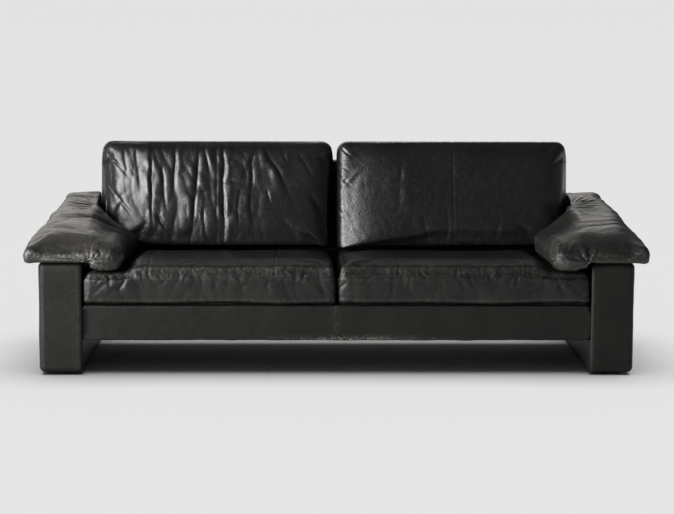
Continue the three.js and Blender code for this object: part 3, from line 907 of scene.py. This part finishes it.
@dataclass
class ArmPad(SoftPiece):
    """A soft armrest: a flat pad over the slab side with a roll that hangs inside it onto the seat."""

    voxel: float = 7.5 * MM
    fill: float = 0.5
    inflation: Inflation = field(default_factory=lambda: Inflation(cap=7 * MM))
    shrink: float = 2 * MM
    gather_y: float = 135 * MM  # where the pad is drawn in beside the back cushion
    waterfall: float = 30 * MM  # how far the top drops to the front
    sunk: float = 46 * MM  # how far the roll's rear end lies below the pad
    bed: float = 469 * MM  # how high the plane of its flat rear top is at the slab side's front
    slope: float = 112 / 830  # how steeply its top rises to the rear
    inner: float = 937 * MM  # how far from the middle the node's inner edge has its centre
    radius: float = 42 * MM  # how round that edge is

    kind = "arm_pad"
    slot = "armrest_leather"

    @property
    def tip(self) -> float:
        """How far from the middle the roll's inner end stays."""
        return 724 * MM if self.side is Side.LEFT else 738 * MM

    @property
    def pinch(self) -> tuple[float, float]:
        """Where lip and roll meet at the front, out from the middle and up."""
        return (871 * MM if self.side is Side.LEFT else 884 * MM, 406 * MM)

    def blank(self) -> bmesh.types.BMesh:
        """Copies the node's own form, drawn in all round.

        Returns:
            The bmesh.
        """
        bm = node_form(self.node)
        bm.normal_update()
        for vert in bm.verts:
            vert.co -= vert.normal * self.shrink
        return bm

    def held(self, surface: Surface) -> np.ndarray:
        """The underside stays where it is."""
        return surface.facing(2, -1, 0.4, 0.9)

    def shape(self, surface: Surface) -> None:
        """Drops the front, fills the rear, pinches lip and roll together, and creases the leather.

        Args:
            surface: The pad's points.
        """
        low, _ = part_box(self.node)
        seed = 80 + 13 * self.side.value
        out = self.side.value * surface.x
        self._square_rear(surface)
        self._hang(surface, out, low, seed)

        # Lip and roll are drawn together at one point, and the leather fans out from it.
        out = self.side.value * surface.x
        front = smooth(low.y + 80 * MM, low.y + 12 * MM, surface.y)
        aside, above = out - self.pinch[0], surface.z - self.pinch[1]
        radius = np.hypot(aside, above)
        angle = np.arctan2(above, aside)
        rays = np.stack([angle * 45 * MM, radius * 0.2], axis=1)
        fan = drape(rays, seed, 15 * MM, 3.0) * np.exp(-radius / (60 * MM)) * smooth(2 * MM, 16 * MM, radius)
        notch = -7 * MM * np.exp(-radius / (16 * MM))
        notch -= 3 * MM * hump(aside, 0, 10 * MM) * np.exp(-np.abs(above) / (50 * MM))
        surface.push(front * (6 * MM * fan + notch) * (1 - surface.facing(2, -1)))

        self._crease_top(surface, seed)
        self._crease_lip(surface, seed)
        self._clear_cushion(surface)

        # Pigment cracked off along the lip, most of all on the left, and a little around the gather.
        crest = hump(surface.average(surface.normal[:, 2], 6), 0.28, 0.20)
        line = crest * smooth(low.y + 50 * MM, low.y + 20 * MM, surface.y) * smooth(0.875, 0.90, out)
        fresh = 0.6 if self.side is Side.LEFT else 0.2
        surface.rub(fresh * line * smooth(1.10, 1.06, out) + 0.15 * front * np.exp(-radius / (30 * MM)))

    def _hang(self, surface: Surface, out: np.ndarray, low: Vector, seed: int) -> None:
        """Lets the pad hang over the slab side and the seat, as its own weight and use have set it.

        Args:
            surface: The pad's points.
            out: How far from the sofa's middle each point of the plain form is.
            low: The lowest corner of its node.
            seed: Picks how ragged the drop to the front is.
        """
        sign = self.side.value

        # The rear swells against the back cushion.
        bulge = hump(surface.y, 0.115, 0.06) * smooth(0.94, 0.90, out) * smooth(0.46, 0.51, surface.z)
        surface.co[:, 0] -= sign * 30 * MM * bulge

        # The top drops to the front along a ragged brow, less so at its outer edge.
        ragged = surface.y + 20 * MM * ripple(surface.co[:, :1], 150 * MM, seed + 40)
        drop = smooth(low.y + 130 * MM, low.y - 8 * MM, ragged)
        brow = smooth(low.y + 70 * MM, low.y, surface.y)
        fall = self.waterfall * drop * smooth(0.405, 0.46, surface.z)
        fall += 6 * MM * brow * smooth(0.43, 0.475, surface.z)
        spared = 0.7 if self.side is Side.LEFT else 0.95
        surface.co[:, 2] -= fall * (1 - spared * smooth(1.03, 1.08, out))

        # Behind that it is full, and its outer edge hangs out and down.
        swelling = hump(surface.y, -0.18, 0.26) * smooth(0.80, 0.87, out) * smooth(1.09, 1.0, out)
        surface.co[:, 2] += 14 * MM * swelling * surface.facing(2, 1)
        ahead = smooth(-0.05, -0.30, surface.y)
        surface.co[:, 0] += sign * ahead * 11 * MM * smooth(1.03, 1.09, out)
        hung = smooth(1.05, 1.09, out) * smooth(-0.30, -0.40, surface.y) * smooth(0.45, 0.42, surface.z)
        surface.co[:, 2] -= 8 * MM * hung

        # The roll's rear end and the pad's outer rear edge lie lower, and the rear of the top is flat.
        self._sink_roll(surface)
        surface.co[:, 2] -= 12 * MM * smooth(0.98, 1.05, out) ** 2 * smooth(0.15, 0.36, surface.y)
        if self.side is Side.RIGHT:
            reach = smooth(-0.15, 0.10, surface.y) * smooth(0.42, 0.24, surface.y)
            surface.co[:, 0] += 14 * MM * smooth(1.0, 1.08, out) * reach
        bed = self.bed + (surface.y + 408 * MM) * self.slope
        flat = surface.facing(2, 1, 0.3, 0.8) * smooth(0.90, 0.93, out) * smooth(-0.05, 0.04, surface.y)
        surface.co[:, 2] += 0.6 * flat * (bed - surface.z)

        # The front end: the roll's tip turns back, the lip's root is drawn up, and the ball hangs down.
        turned = smooth(0.81, 0.735, out) * smooth(low.y + 90 * MM, low.y, surface.y)
        surface.co[:, 1] += 26 * MM * turned
        nose = smooth(low.y + 90 * MM, low.y + 40 * MM, surface.y) * smooth(0.41, 0.385, surface.z)
        notch = smooth(self.pinch[0] - 9 * MM, self.pinch[0] + 9 * MM, out) * smooth(0.915, 0.90, out)
        surface.co[:, 2] += nose * (20 * MM * notch - 9 * MM * smooth(0.87, 0.83, out))
        surface.write()

    def _clear_cushion(self, surface: Surface) -> None:
        """Keeps the pad out of the seat's middle, and its rear beside the back cushion.

        Args:
            surface: The pad's points.
        """
        limit = self.tip + (889 * MM - self.tip) * smooth(0.12, 0.155, surface.y)
        over = self.side.value * surface.x - limit
        surface.co[:, 0] = self.side.value * (limit + (over + np.sqrt(over**2 + (9 * MM) ** 2)) / 2)
        surface.write()

    def _sink_roll(self, surface: Surface) -> None:
        """Lets the roll's rear end lie lower, rounding down from the pad to its tip.

        Args:
            surface: The pad's points.
        """
        out = self.side.value * surface.x
        surface.co[:, 2] -= self.sunk * smooth(-0.03, 0.06, surface.y) * smooth(0.865, 0.79, out)
        ceiling = 553 * MM - 0.70 * (890 * MM - out)
        over = surface.z - ceiling
        over = (over + np.sqrt(over**2 + (6 * MM) ** 2)) / 2
        surface.co[:, 2] -= over * smooth(-0.20, -0.08, surface.y) * smooth(0.895, 0.885, out)

    def _square_rear(self, surface: Surface) -> None:
        """Fills the rear part out to the back cushion, with a squarer inner edge.

        Args:
            surface: The pad's points.
        """
        out = self.side.value * surface.x
        middle_z = 542.3 * MM + (surface.y - 400 * MM) * SIDE_SLOPE
        across, up = (self.inner - out) / self.radius, (surface.z - middle_z) / self.radius
        angle = np.arctan2(up, across)
        squarer = (np.abs(np.cos(angle)) ** 7 + np.abs(np.sin(angle)) ** 7) ** (-1 / 7)
        share = smooth(0.06, 0.12, surface.y) * (across > 0)
        grow = 1 + (squarer - 1) * share
        surface.co[:, 0] = self.side.value * (self.inner - across * grow * (self.radius + 6 * MM * share))
        surface.co[:, 2] = middle_z + up * grow * self.radius
        surface.write()

    def _crease_top(self, surface: Surface, seed: int) -> None:
        """Creases the top across, in a fan from where it is drawn in beside the back cushion.

        Args:
            surface: The pad's points.
            seed: Picks the creases.
        """
        low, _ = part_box(self.node)
        busy = self.side is Side.LEFT
        out = self.side.value * surface.x
        top = surface.facing(2, 1, 0.1, 0.6)
        inland = smooth(low.y + 60 * MM, low.y + 190 * MM, surface.y)
        turned = np.stack([surface.y - 0.35 * (out - 0.9), out], axis=1)
        surface.push(top * inland * (7.0 if busy else 3.0) * MM * drape(turned, seed + 10, 68 * MM, 2.3))
        fine = (0.25 + 0.75 * inland) * (1.3 if busy else 0.8) * MM
        surface.push(top * fine * drape(turned, seed + 13, 23 * MM, 2.6))
        place = np.stack([out, surface.y], axis=1)
        folds = []
        # The creases of the fan: their directions in degrees, and their lengths in millimetres.
        turns = (-30, -14, 2, 16, 30, 42, 52, 62, 72)
        lengths = (80, 100, 120, 115, 135, 160, 150, 165, 150)
        for index, (turn, length) in enumerate(zip(turns, lengths)):
            way = np.array([math.cos(math.radians(turn)), math.sin(math.radians(turn))])
            start = np.array([0.893, self.gather_y + 9 * MM * (index - 4)])
            end = start + way * length * MM
            folds.append(Fold(tuple(start), tuple(end), 3 * MM, 4.5 * MM, swell=10 * MM, fade=0.6))
        # Four single creases across the top, each from one (out, y) to another.
        slits = (
            (0.97, 0.10, 0.90, 0.11),
            (0.93, 0.02, 0.86, 0.05),
            (1.0, -0.03, 0.90, -0.05),
            (1.0, 0.23, 0.93, 0.21),
        )
        folds += [Fold((a, b), (c, d), 2.2 * MM, 4.5 * MM, 3 * MM, swell=12 * MM) for a, b, c, d in slits]
        move = sum(fold.press(place, seed + i) for i, fold in enumerate(folds))
        surface.push(top * move)

        # The dimple that the fan starts from.
        gap = np.exp(-np.hypot(out - 0.885, surface.y - self.gather_y) / (16 * MM))
        surface.push(-3 * MM * gap)

    def _crease_lip(self, surface: Surface, seed: int) -> None:
        """Wears the lip and the roll's front end into short creases.

        Args:
            surface: The pad's points.
            seed: Picks the creases.
        """
        facing_front = surface.facing(1, -1, 0.1, 0.5)
        face = surface.co[:, [0, 2]]
        worn = hump(surface.z, 0.440, 0.016)
        surface.push(facing_front * worn * 2.0 * MM * drape(face, seed + 20, 12 * MM, 1.0))
        surface.push(facing_front * 0.7 * MM * drape(face[:, ::-1], seed + 23, 26 * MM, 2.0))
        ball = facing_front * smooth(0.885, 0.86, self.side.value * surface.x)
        surface.push(ball * 1.9 * MM * drape(face, seed + 29, 15 * MM, 1.6))
        side = surface.facing(0, -self.side.value, 0.1, 0.5)
        surface.push(side * 2.0 * MM * drape(surface.co[:, [1, 2]], seed + 26, 40 * MM, 1.5))


# ---- Tight upholstery ----------------------------------------------------------------------------
@dataclass
class TightPiece:
    """A piece of the body whose leather is pulled tight over foam or board."""

    material: bpy.types.Material
    spacing: float = 12 * MM
    slot: str = "frame_leather"

    def blank(self) -> bmesh.types.BMesh:
        """The piece's plain form."""
        raise NotImplementedError

    def shape(self, surface: Surface) -> None:
        """Works seams and softness into the plain form."""
        raise NotImplementedError

    def node(self) -> str:
        """The frame's node that it stands for."""
        raise NotImplementedError

    def build(self) -> bpy.types.Object:
        """Makes the piece and hands it to the frame.

        Returns:
            The finished object.
        """
        piece = new_piece(f"{self.node()}_leather", self.blank())
        surface = Surface(piece)
        self.shape(surface)
        hand_over(surface, self.material, self.node())
        return piece


def slice_up(bm: bmesh.types.BMesh, low: Vector, high: Vector, spacing: float) -> None:
    """Cuts a bmesh into a grid of faces that point outwards, so that it can be worked.

    Args:
        bm: The form.
        low: Its lowest corner.
        high: Its highest corner.
        spacing: How far apart the cuts are.
    """
    for axis in range(3):
        span = high[axis] - low[axis]
        cuts = max(1, round(span / spacing))
        normal = Vector([float(i == axis) for i in range(3)])
        for cut in range(1, cuts):
            place = Vector(low)
            place[axis] += span * cut / cuts
            geometry = bm.verts[:] + bm.edges[:] + bm.faces[:]
            bmesh.ops.bisect_plane(bm, geom=geometry, dist=1e-5, plane_co=place, plane_no=normal)
    bmesh.ops.recalc_face_normals(bm, faces=bm.faces)


@dataclass
class SlabSide(TightPiece):
    """A slab side: flat leather over thin foam, seamed along its front corners."""

    side: Side = Side.LEFT
    drop: float = 100 * MM  # how far its top slopes down to the front
    outer_radius: float = 20 * MM
    inner_radius: float = 7 * MM
    seam: float = 26 * MM  # how far behind the front face the seam runs

    def node(self) -> str:
        """The frame's node that it stands for."""
        return f"{self.side.word}_side_cover"

    def blank(self) -> bmesh.types.BMesh:
        """Makes a slab with a sloping top and softly rounded edges.

        Returns:
            The bmesh.
        """
        low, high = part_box(self.node())
        bm = plain_block(low, high)
        for vert in bm.verts:
            if vert.co.y < 0 and vert.co.z > low.z + 0.1:
                vert.co.z -= self.drop
        inner = [e for e in bm.edges if all(abs(v.co.x) < 0.95 for v in e.verts)]
        outer = [e for e in bm.edges if e not in inner]
        round_edges(bm, outer, self.outer_radius)
        round_edges(bm, inner, self.inner_radius)
        slice_up(bm, low, high, self.spacing)
        return bm

    def shape(self, surface: Surface) -> None:
        """Puffs the faces a little and draws in a seam behind each front corner.

        Args:
            surface: The slab's points.
        """
        low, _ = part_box(self.node())
        seed = 5 + self.side.value
        puff = 0.9 * MM * ripple(surface.co, 190 * MM, seed)
        surface.push(puff + 0.3 * MM * ripple(surface.co, 60 * MM, seed + 2))
        across = surface.y - low.y - self.seam
        surface.push(draw_in(across, 1.6 * MM, 3.0 * MM) * (1 - surface.facing(1, -1)) * 0.8)
        surface.co[:, 2] = np.maximum(surface.z, low.z + 1 * MM)
        surface.write()


@dataclass
class Apron(TightPiece):
    """The leather below the seat: two lengths seamed together in the middle."""

    name: str = "front_apron"
    reach: float = 5 * MM  # how much nearer it comes to each slab side than its node, to close the gap

    def node(self) -> str:
        """The frame's node that it stands for."""
        return self.name

    def blank(self) -> bmesh.types.BMesh:
        """Copies the node's own form, a little longer, and cuts it into a grid.

        Returns:
            The bmesh.
        """
        low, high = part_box(self.name)
        bm = node_form(self.name)
        bmesh.ops.scale(bm, vec=(1 + self.reach / high.x, 1, 1), verts=bm.verts)
        slice_up(bm, low, high, self.spacing)
        return bm

    def shape(self, surface: Surface) -> None:
        """Draws in the middle seam, and lets the leather ripple a little.

        Args:
            surface: The apron's points.
        """
        low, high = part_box(self.name)
        sign, face = (1, high.y) if "rear" in self.name else (-1, low.y)
        shown = surface.facing(1, sign) * smooth(24 * MM, 16 * MM, np.abs(surface.y - face))
        shown = np.maximum(shown, surface.facing(2, -1) * hump(surface.z, low.z, 10 * MM))
        seam = surface.x + 0.8 * MM * ripple(surface.co, 90 * MM, 3)
        surface.push(shown * draw_in(seam, 2.6 * MM, 3.5 * MM))
        surface.push(shown * 1.1 * MM * ripple(surface.co * [1, 1, 0.4], 150 * MM, 12))
        surface.push(shown * 0.4 * MM * ripple(surface.co, 45 * MM, 14))
        scuffed = hump(surface.z, low.z + 5 * MM, 7 * MM) * hump(surface.x, 0.07, 0.2)
        surface.rub(0.8 * scuffed + 0.25 * hump(surface.x, 0.0, 5 * MM))


@dataclass
class BackShell(TightPiece):
    """The cover of the back frame: leather pulled tight over thin padding, seamed down its length."""

    spacing: float = 15 * MM
    seams: tuple[float, float] = (-300 * MM, 300 * MM)

    def node(self) -> str:
        """The frame's node that it stands for."""
        return "back_cover"

    def blank(self) -> bmesh.types.BMesh:
        """Copies the node's own form and cuts it into a grid.

        Returns:
            The bmesh.
        """
        bm = node_form(self.node())
        slice_up(bm, *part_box(self.node()), self.spacing)
        return bm

    def shape(self, surface: Surface) -> None:
        """Draws in two upright seams and lets the wide rear face ripple a little.

        Args:
            surface: The cover's points.
        """
        low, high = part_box(self.node())
        down = (high.z - surface.z) * math.tan(LEAN)
        rear = surface.facing(1, 1, 0.5, 0.9) * smooth(60 * MM, 40 * MM, high.y - down - surface.y)
        rear *= smooth(low.z, low.z + 30 * MM, surface.z) * smooth(high.z, high.z - 30 * MM, surface.z)
        move = 1.6 * MM * ripple(surface.co, 260 * MM, 31) + 0.5 * MM * ripple(surface.co, 70 * MM, 33)
        for place in self.seams:
            move = move + draw_in(surface.x - place, 3 * MM, 4.5 * MM)
            move = move + puckers(surface.z, surface.x - place, 35, 0.6 * MM, 18 * MM)
        surface.push(rear * move)


# ---- Finishes ------------------------------------------------------------------------------------
def linear(colour: str) -> tuple[float, float, float, float]:
    """An sRGB hex colour, turned linear."""
    parts = [int(colour[i : i + 2], 16) / 255 for i in (1, 3, 5)]
    return (*[c / 12.92 if c <= 0.04045 else ((c + 0.055) / 1.055) ** 2.4 for c in parts], 1.0)


class Tree:
    """A material's nodes while they are being put together."""

    def __init__(self, name: str) -> None:
        """Starts a material with an empty tree.

        Args:
            name: What the material is called.
        """
        self.material = bpy.data.materials.new(name)
        self.material.use_nodes = True
        self.nodes = self.material.node_tree.nodes
        self.links = self.material.node_tree.links
        self.nodes.clear()

    def add(self, kind: str, inputs: dict | None = None, **settings: object) -> bpy.types.Node:
        """Adds one node.

        Args:
            kind: The node's type, without its "ShaderNode" start.
            inputs: For each socket's name or number, a value or the output that feeds it.
            **settings: The node's own properties.

        Returns:
            The node.
        """
        node = self.nodes.new("ShaderNode" + kind)
        for key, value in settings.items():
            setattr(node, key, value)
        for key, value in (inputs or {}).items():
            if isinstance(value, bpy.types.NodeSocket):
                self.links.new(value, node.inputs[key])
            else:
                node.inputs[key].default_value = value
        return node

    def finish(self, **inputs: object) -> bpy.types.Material:
        """Ends the tree in one plain shader.

        Args:
            **inputs: Its sockets by name, with _ for a space.

        Returns:
            The material.
        """
        named = {key.replace("_", " "): value for key, value in inputs.items()}
        shader = self.add("BsdfPrincipled", named)
        self.add("OutputMaterial", {"Surface": shader.outputs[0]})
        return self.material


@dataclass(frozen=True)
class Leather:
    """Finished hide: pigment over a pebbled grain, rubbed on its crests and coloured darker in its creases.
    """

    name: str
    body: str
    rubbed: str
    crease: str
    roughness: float
    wear: float
    specular: float = 0.4
    bare: str = "#8a867e"  # the undyed hide that shows in the rubbed cracks
    grain: float = 1.6 * MM  # one pebble of the grain
    crinkle: float = 16 * MM  # one soft crinkle between creases
    crackle: float = 11 * MM  # one flake of old pigment, drawn coarser than real so that it shows

    def material(self) -> bpy.types.Material:
        """Builds the finish.

        Returns:
            The material.
        """
        tree = Tree(self.name)
        place = tree.add("TexCoord").outputs["Object"]
        relief = tree.add("Attribute", attribute_name="relief").outputs["Fac"]
        spent = tree.add("Attribute", attribute_name="rubbed").outputs["Fac"]
        cloud = tree.add("TexNoise", {"Vector": place, "Scale": 5.0, "Detail": 4.0, "Roughness": 0.6})
        soft = tree.add(
            "TexNoise",
            {
                "Vector": place,
                "Scale": 1 / self.crinkle,
                "Detail": 5.0,
                "Roughness": 0.62,
                "Distortion": 0.8,
            },
        )
        warp = tree.add("VectorMath", {0: soft.outputs["Color"], "Scale": 0.012}, operation="SCALE")
        moved = tree.add("VectorMath", {0: place, 1: warp.outputs[0]}, operation="ADD")
        pebble = tree.add("TexVoronoi", {"Vector": place, "Scale": 1 / self.grain, "Randomness": 0.9})
        crack = tree.add(
            "TexVoronoi", {"Vector": moved.outputs[0], "Scale": 1 / self.crackle}, feature="DISTANCE_TO_EDGE"
        )
        crest = tree.add("MapRange", {"Value": relief, "From Min": 0.12, "From Max": 0.85})
        valley = tree.add("MapRange", {"Value": relief, "From Min": -0.12, "From Max": -0.7})
        patch = tree.add("MapRange", {"Value": cloud.outputs["Fac"], "From Min": 0.42, "From Max": 0.66})
        rub = tree.add("MapRange", {"Value": soft.outputs["Fac"], "From Min": 0.35, "From Max": 0.7})
        rubbed = tree.add("Math", {0: crest.outputs[0], 1: rub.outputs[0]}, operation="MULTIPLY")
        faded = tree.add(
            "Math", {0: patch.outputs[0], 1: 0.35, 2: rubbed.outputs[0]}, operation="MULTIPLY_ADD"
        )
        flakes = tree.add(
            "MapRange", {"Value": crack.outputs["Distance"], "From Min": 0.17, "From Max": 0.05}
        )
        peeled = tree.add("Math", {0: flakes.outputs[0], 1: spent}, operation="MULTIPLY")
        peeled = tree.add(
            "Math", {0: peeled.outputs[0], 1: rub.outputs[0]}, operation="MULTIPLY", use_clamp=True
        )
        worn = tree.add("Math", {0: faded.outputs[0], 1: self.wear}, operation="MULTIPLY", use_clamp=True)
        base = tree.add(
            "Mix", {0: worn.outputs[0], 6: linear(self.body), 7: linear(self.rubbed)}, data_type="RGBA"
        )
        base = tree.add(
            "Mix", {0: peeled.outputs[0], 6: base.outputs[2], 7: linear(self.bare)}, data_type="RGBA"
        )
        # The creases take the darker crease colour, the deeper the darker.
        colour = tree.add(
            "Mix", {0: valley.outputs[0], 6: base.outputs[2], 7: linear(self.crease)}, data_type="RGBA"
        )
        polish = tree.add(
            "MapRange",
            {
                "Value": soft.outputs["Fac"],
                "From Min": 0.25,
                "From Max": 0.75,
                "To Min": self.roughness - 0.07,
                "To Max": self.roughness + 0.09,
            },
        )
        lines = tree.add(
            "MapRange", {"Value": crack.outputs["Distance"], "From Min": 0.0, "From Max": 0.09}
        )
        bump = tree.add(
            "Bump", {"Height": pebble.outputs["Distance"], "Strength": 0.22, "Distance": 0.25 * MM}
        )
        cracked = tree.add("MapRange", {"Value": spent, "To Min": 0.1, "To Max": 1.0})
        bump = tree.add(
            "Bump",
            {
                "Height": lines.outputs[0],
                "Strength": cracked.outputs[0],
                "Distance": 0.5 * MM,
                "Normal": bump.outputs[0],
            },
        )
        bump = tree.add(
            "Bump",
            {
                "Height": soft.outputs["Fac"],
                "Strength": 0.5,
                "Distance": 2.2 * MM,
                "Normal": bump.outputs[0],
            },
        )
        return tree.finish(
            Base_Color=colour.outputs[2],
            Roughness=polish.outputs[0],
            Specular_IOR_Level=self.specular,
            Normal=bump.outputs[0],
        )


@dataclass(frozen=True)
class Plain:
    """A hidden or small piece's finish: one colour with a cloudy variation and a fine relief."""

    name: str
    body: str
    shade: str
    roughness: float
    scale: tuple[float, float, float] = (20 * MM, 20 * MM, 20 * MM)  # the pattern's size along x, y and z
    relief: float = 0.2 * MM
    metallic: float = 0.0

    def material(self) -> bpy.types.Material:
        """Builds the finish.

        Returns:
            The material.
        """
        tree = Tree(self.name)
        place = tree.add("TexCoord").outputs["Object"]
        sized = tree.add("Mapping", {"Vector": place, "Scale": tuple(1 / s for s in self.scale)})
        cloud = tree.add(
            "TexNoise", {"Vector": sized.outputs[0], "Scale": 1.0, "Detail": 6.0, "Roughness": 0.6}
        )
        colour = tree.add(
            "Mix", {0: cloud.outputs["Fac"], 6: linear(self.body), 7: linear(self.shade)}, data_type="RGBA"
        )
        bump = tree.add("Bump", {"Height": cloud.outputs["Fac"], "Strength": 0.5, "Distance": self.relief})
        return tree.finish(
            Base_Color=colour.outputs[2],
            Roughness=self.roughness,
            Metallic=self.metallic,
            Normal=bump.outputs[0],
        )


# Corrected-grain cowhide with a thick satin topcoat: near black, with broad soft highlights on its folds.
CUSHION_LEATHER = Leather("corrected_grain_leather_satin", "#0a0a0b", "#202023", "#050506", 0.34, 0.6, 0.44)
# The same hide with its topcoat sat off: duller, a shade browner, and paler along the rubbed front edge.
SEAT_LEATHER = Leather(
    "corrected_grain_leather_rubbed", "#10100f", "#2e2d29", "#070706", 0.42, 0.8, 0.27, bare="#4a4843"
)
# Soft, lightly coated hide, faded by light and hands: a warm dark grey with wide dull reflections.
PAD_LEATHER = Leather("soft_hide_leather_faded", "#141311", "#34322d", "#080706", 0.46, 0.9, 0.46)
# Thick saddle-weight hide, pulled tight and matt: an even dark brown-grey with hardly any highlight.
FRAME_LEATHER = Leather("thick_hide_leather_matt", "#100f0d", "#201f1b", "#080807", 0.5, 0.7, 0.22)


# ---- The studio ----------------------------------------------------------------------------------
@dataclass
class Studio:
    """The camera, the floor and the lights."""

    lens: float = 114.8
    place: tuple[float, float, float] = (-0.138, -7.908, 1.3705)
    pitch: float = 7.20
    yaw: float = 1.045
    roll: float = 0.20
    room: float = 0.14  # how bright the dim room around the sofa is

    def camera(self) -> None:
        """Sets up the camera, looking a little down at the front."""
        data = bpy.data.cameras.new("camera")
        data.lens = self.lens
        data.sensor_width = 36.0
        data.clip_end = 3000
        camera = bpy.data.objects.new("camera", data)
        turn = Matrix.Rotation(-math.radians(self.yaw), 4, "Z")
        turn @= Matrix.Rotation(math.radians(90 - self.pitch), 4, "X")
        roll = Matrix.Rotation(math.radians(self.roll), 4, "Z")
        camera.matrix_world = Matrix.Translation(self.place) @ turn @ roll
        bpy.context.scene.collection.objects.link(camera)
        bpy.context.scene.camera = camera

    def floor(self) -> None:
        """Lays a plain pale floor."""
        bm = bmesh.new()
        bmesh.ops.create_grid(bm, x_segments=1, y_segments=1, size=900)
        floor = new_piece("floor", bm)
        tree = Tree("matt_pale_floor")
        floor.data.materials.append(tree.finish(Base_Color=linear("#ecebea"), Roughness=0.9))

    def lights(self) -> None:
        """Lights the sofa with a large window on the left and a pale wall behind it."""
        world = bpy.data.worlds.new("studio")
        bpy.context.scene.world = world
        world.use_nodes = True
        background = world.node_tree.nodes["Background"]
        background.inputs["Color"].default_value = (0.93, 0.95, 1.0, 1.0)
        background.inputs["Strength"].default_value = self.room
        self._softbox("window", (-3.35, -2.2, 1.7), (-0.5, 0.1, 0.5), (2.6, 2.4), 430.0)
        self._softbox("wall", (-1.35, 5.0, 2.75), (-1.35, 0.0, 0.6), (6.7, 2.6), 133.0, (1.0, 0.965, 0.91))
        self._floor_light()
        spared = bpy.data.collections.new("not_floor")
        spared.objects.link(bpy.data.objects["floor"])
        spared.collection_objects[0].light_linking.link_state = "EXCLUDE"
        for name in ("window", "wall"):
            bpy.data.objects[name].light_linking.receiver_collection = spared

    def _floor_light(self) -> None:
        """Lights the floor alone from above, so that it is pale all over."""
        data = bpy.data.lights.new("floor_light", "SUN")
        data.energy = 2.6
        data.angle = math.radians(70)
        light = bpy.data.objects.new("floor_light", data)
        bpy.context.scene.collection.objects.link(light)
        lit = bpy.data.collections.new("floor_only")
        lit.objects.link(bpy.data.objects["floor"])
        light.light_linking.receiver_collection = lit

    def _softbox(
        self,
        name: str,
        place: tuple[float, float, float],
        target: tuple[float, float, float],
        size: tuple[float, float],
        power: float,
        colour: tuple[float, float, float] = (1.0, 1.0, 1.0),
    ) -> None:
        """Hangs one rectangular soft light and points it at a target.

        Args:
            name: What the light is called.
            place: Where it hangs.
            target: What it points at.
            size: Its width and height.
            power: Its power in watts.
            colour: Its colour.
        """
        data = bpy.data.lights.new(name, "AREA")
        data.shape = "RECTANGLE"
        data.size, data.size_y = size
        data.energy = power
        data.color = colour
        light = bpy.data.objects.new(name, data)
        aim = (Vector(target) - Vector(place)).to_track_quat("-Z", "Y")
        light.matrix_world = Matrix.Translation(place) @ aim.to_matrix().to_4x4()
        light.visible_camera = False
        bpy.context.scene.collection.objects.link(light)


def dress_frame() -> dict[str, bpy.types.Material]:
    """Gives every node of the frame its own finish.

    Returns:
        The finish of each material slot.
    """
    finishes = {
        # Planed pine: pale and dull, with darker streaks along the length of a rail.
        "softwood": Plain("planed_softwood", "#b58f63", "#8f6a42", 0.6, (60 * MM, 6 * MM, 6 * MM)),
        # Pressed wood chips, uncoated: a speckled, dusty mid brown.
        "particle_board": Plain("raw_particle_board", "#8a7352", "#5c4a33", 0.8, (4 * MM, 4 * MM, 4 * MM)),
        # Rubber threads in a woven jute-brown band: dark and without shine.
        "webbing": Plain("woven_elastic_webbing", "#3d342c", "#221c18", 0.85, (2 * MM, 2 * MM, 2 * MM)),
        # Spun-bonded polypropylene: black, fibrous and quite matt.
        "black_cloth": Plain("spun_black_lining", "#131315", "#1f1f22", 0.95, (3 * MM, 3 * MM, 3 * MM)),
        # Open-cell foam, yellowed with age: soft edged and powdery.
        "padding": Plain("polyurethane_foam", "#c9bd8d", "#a89a68", 0.95, (2 * MM, 2 * MM, 2 * MM)),
        # Zinc-plated steel: a clouded, greyish mirror.
        "steel": Plain(
            "zinc_plated_steel", "#a9acb0", "#8d9095", 0.35, (5 * MM, 5 * MM, 5 * MM), metallic=1.0
        ),
        # Moulded nylon: black with a dull, slightly wavy sheen.
        "glide_plastic": Plain("moulded_black_nylon", "#101011", "#1b1b1c", 0.5),
        # Nylon coils sewn to a tape: black, with a fine broken sheen.
        "zip_plastic": Plain("nylon_coil_zip", "#0e0e0f", "#1a1a1b", 0.5, (2 * MM, 2 * MM, 2 * MM)),
        "frame_leather": FRAME_LEATHER,
        "cushion_leather": CUSHION_LEATHER,
        "armrest_leather": PAD_LEATHER,
    }
    materials = {slot: finish.material() for slot, finish in finishes.items()}
    slots = {part["node"]: part["material_slot"] for part in frame["record"]["subparts"]}
    for name, node in frame["nodes"].items():
        node.data.materials.clear()
        node.data.materials.append(materials[slots[name]])
    return materials


def main() -> None:
    """Builds the whole scene."""
    logging.basicConfig(level=logging.INFO, format="%(name)s %(message)s")
    bpy.context.scene.view_settings.view_transform = "Standard"
    studio = Studio()
    studio.camera()
    finishes = dress_frame()
    cushion, pad, body = (finishes[f"{part}_leather"] for part in ("cushion", "armrest", "frame"))
    seat = SEAT_LEATHER.material()
    for side in Side:
        SeatCushion(side, seat).build()
        BackCushion(side, cushion).build()
        ArmPad(side, pad).build()
        SlabSide(body, side=side).build()
    Apron(body).build()
    Apron(body, name="rear_apron").build()
    BackShell(body).build()
    studio.floor()
    studio.lights()


if __name__ == "__main__":
    main()
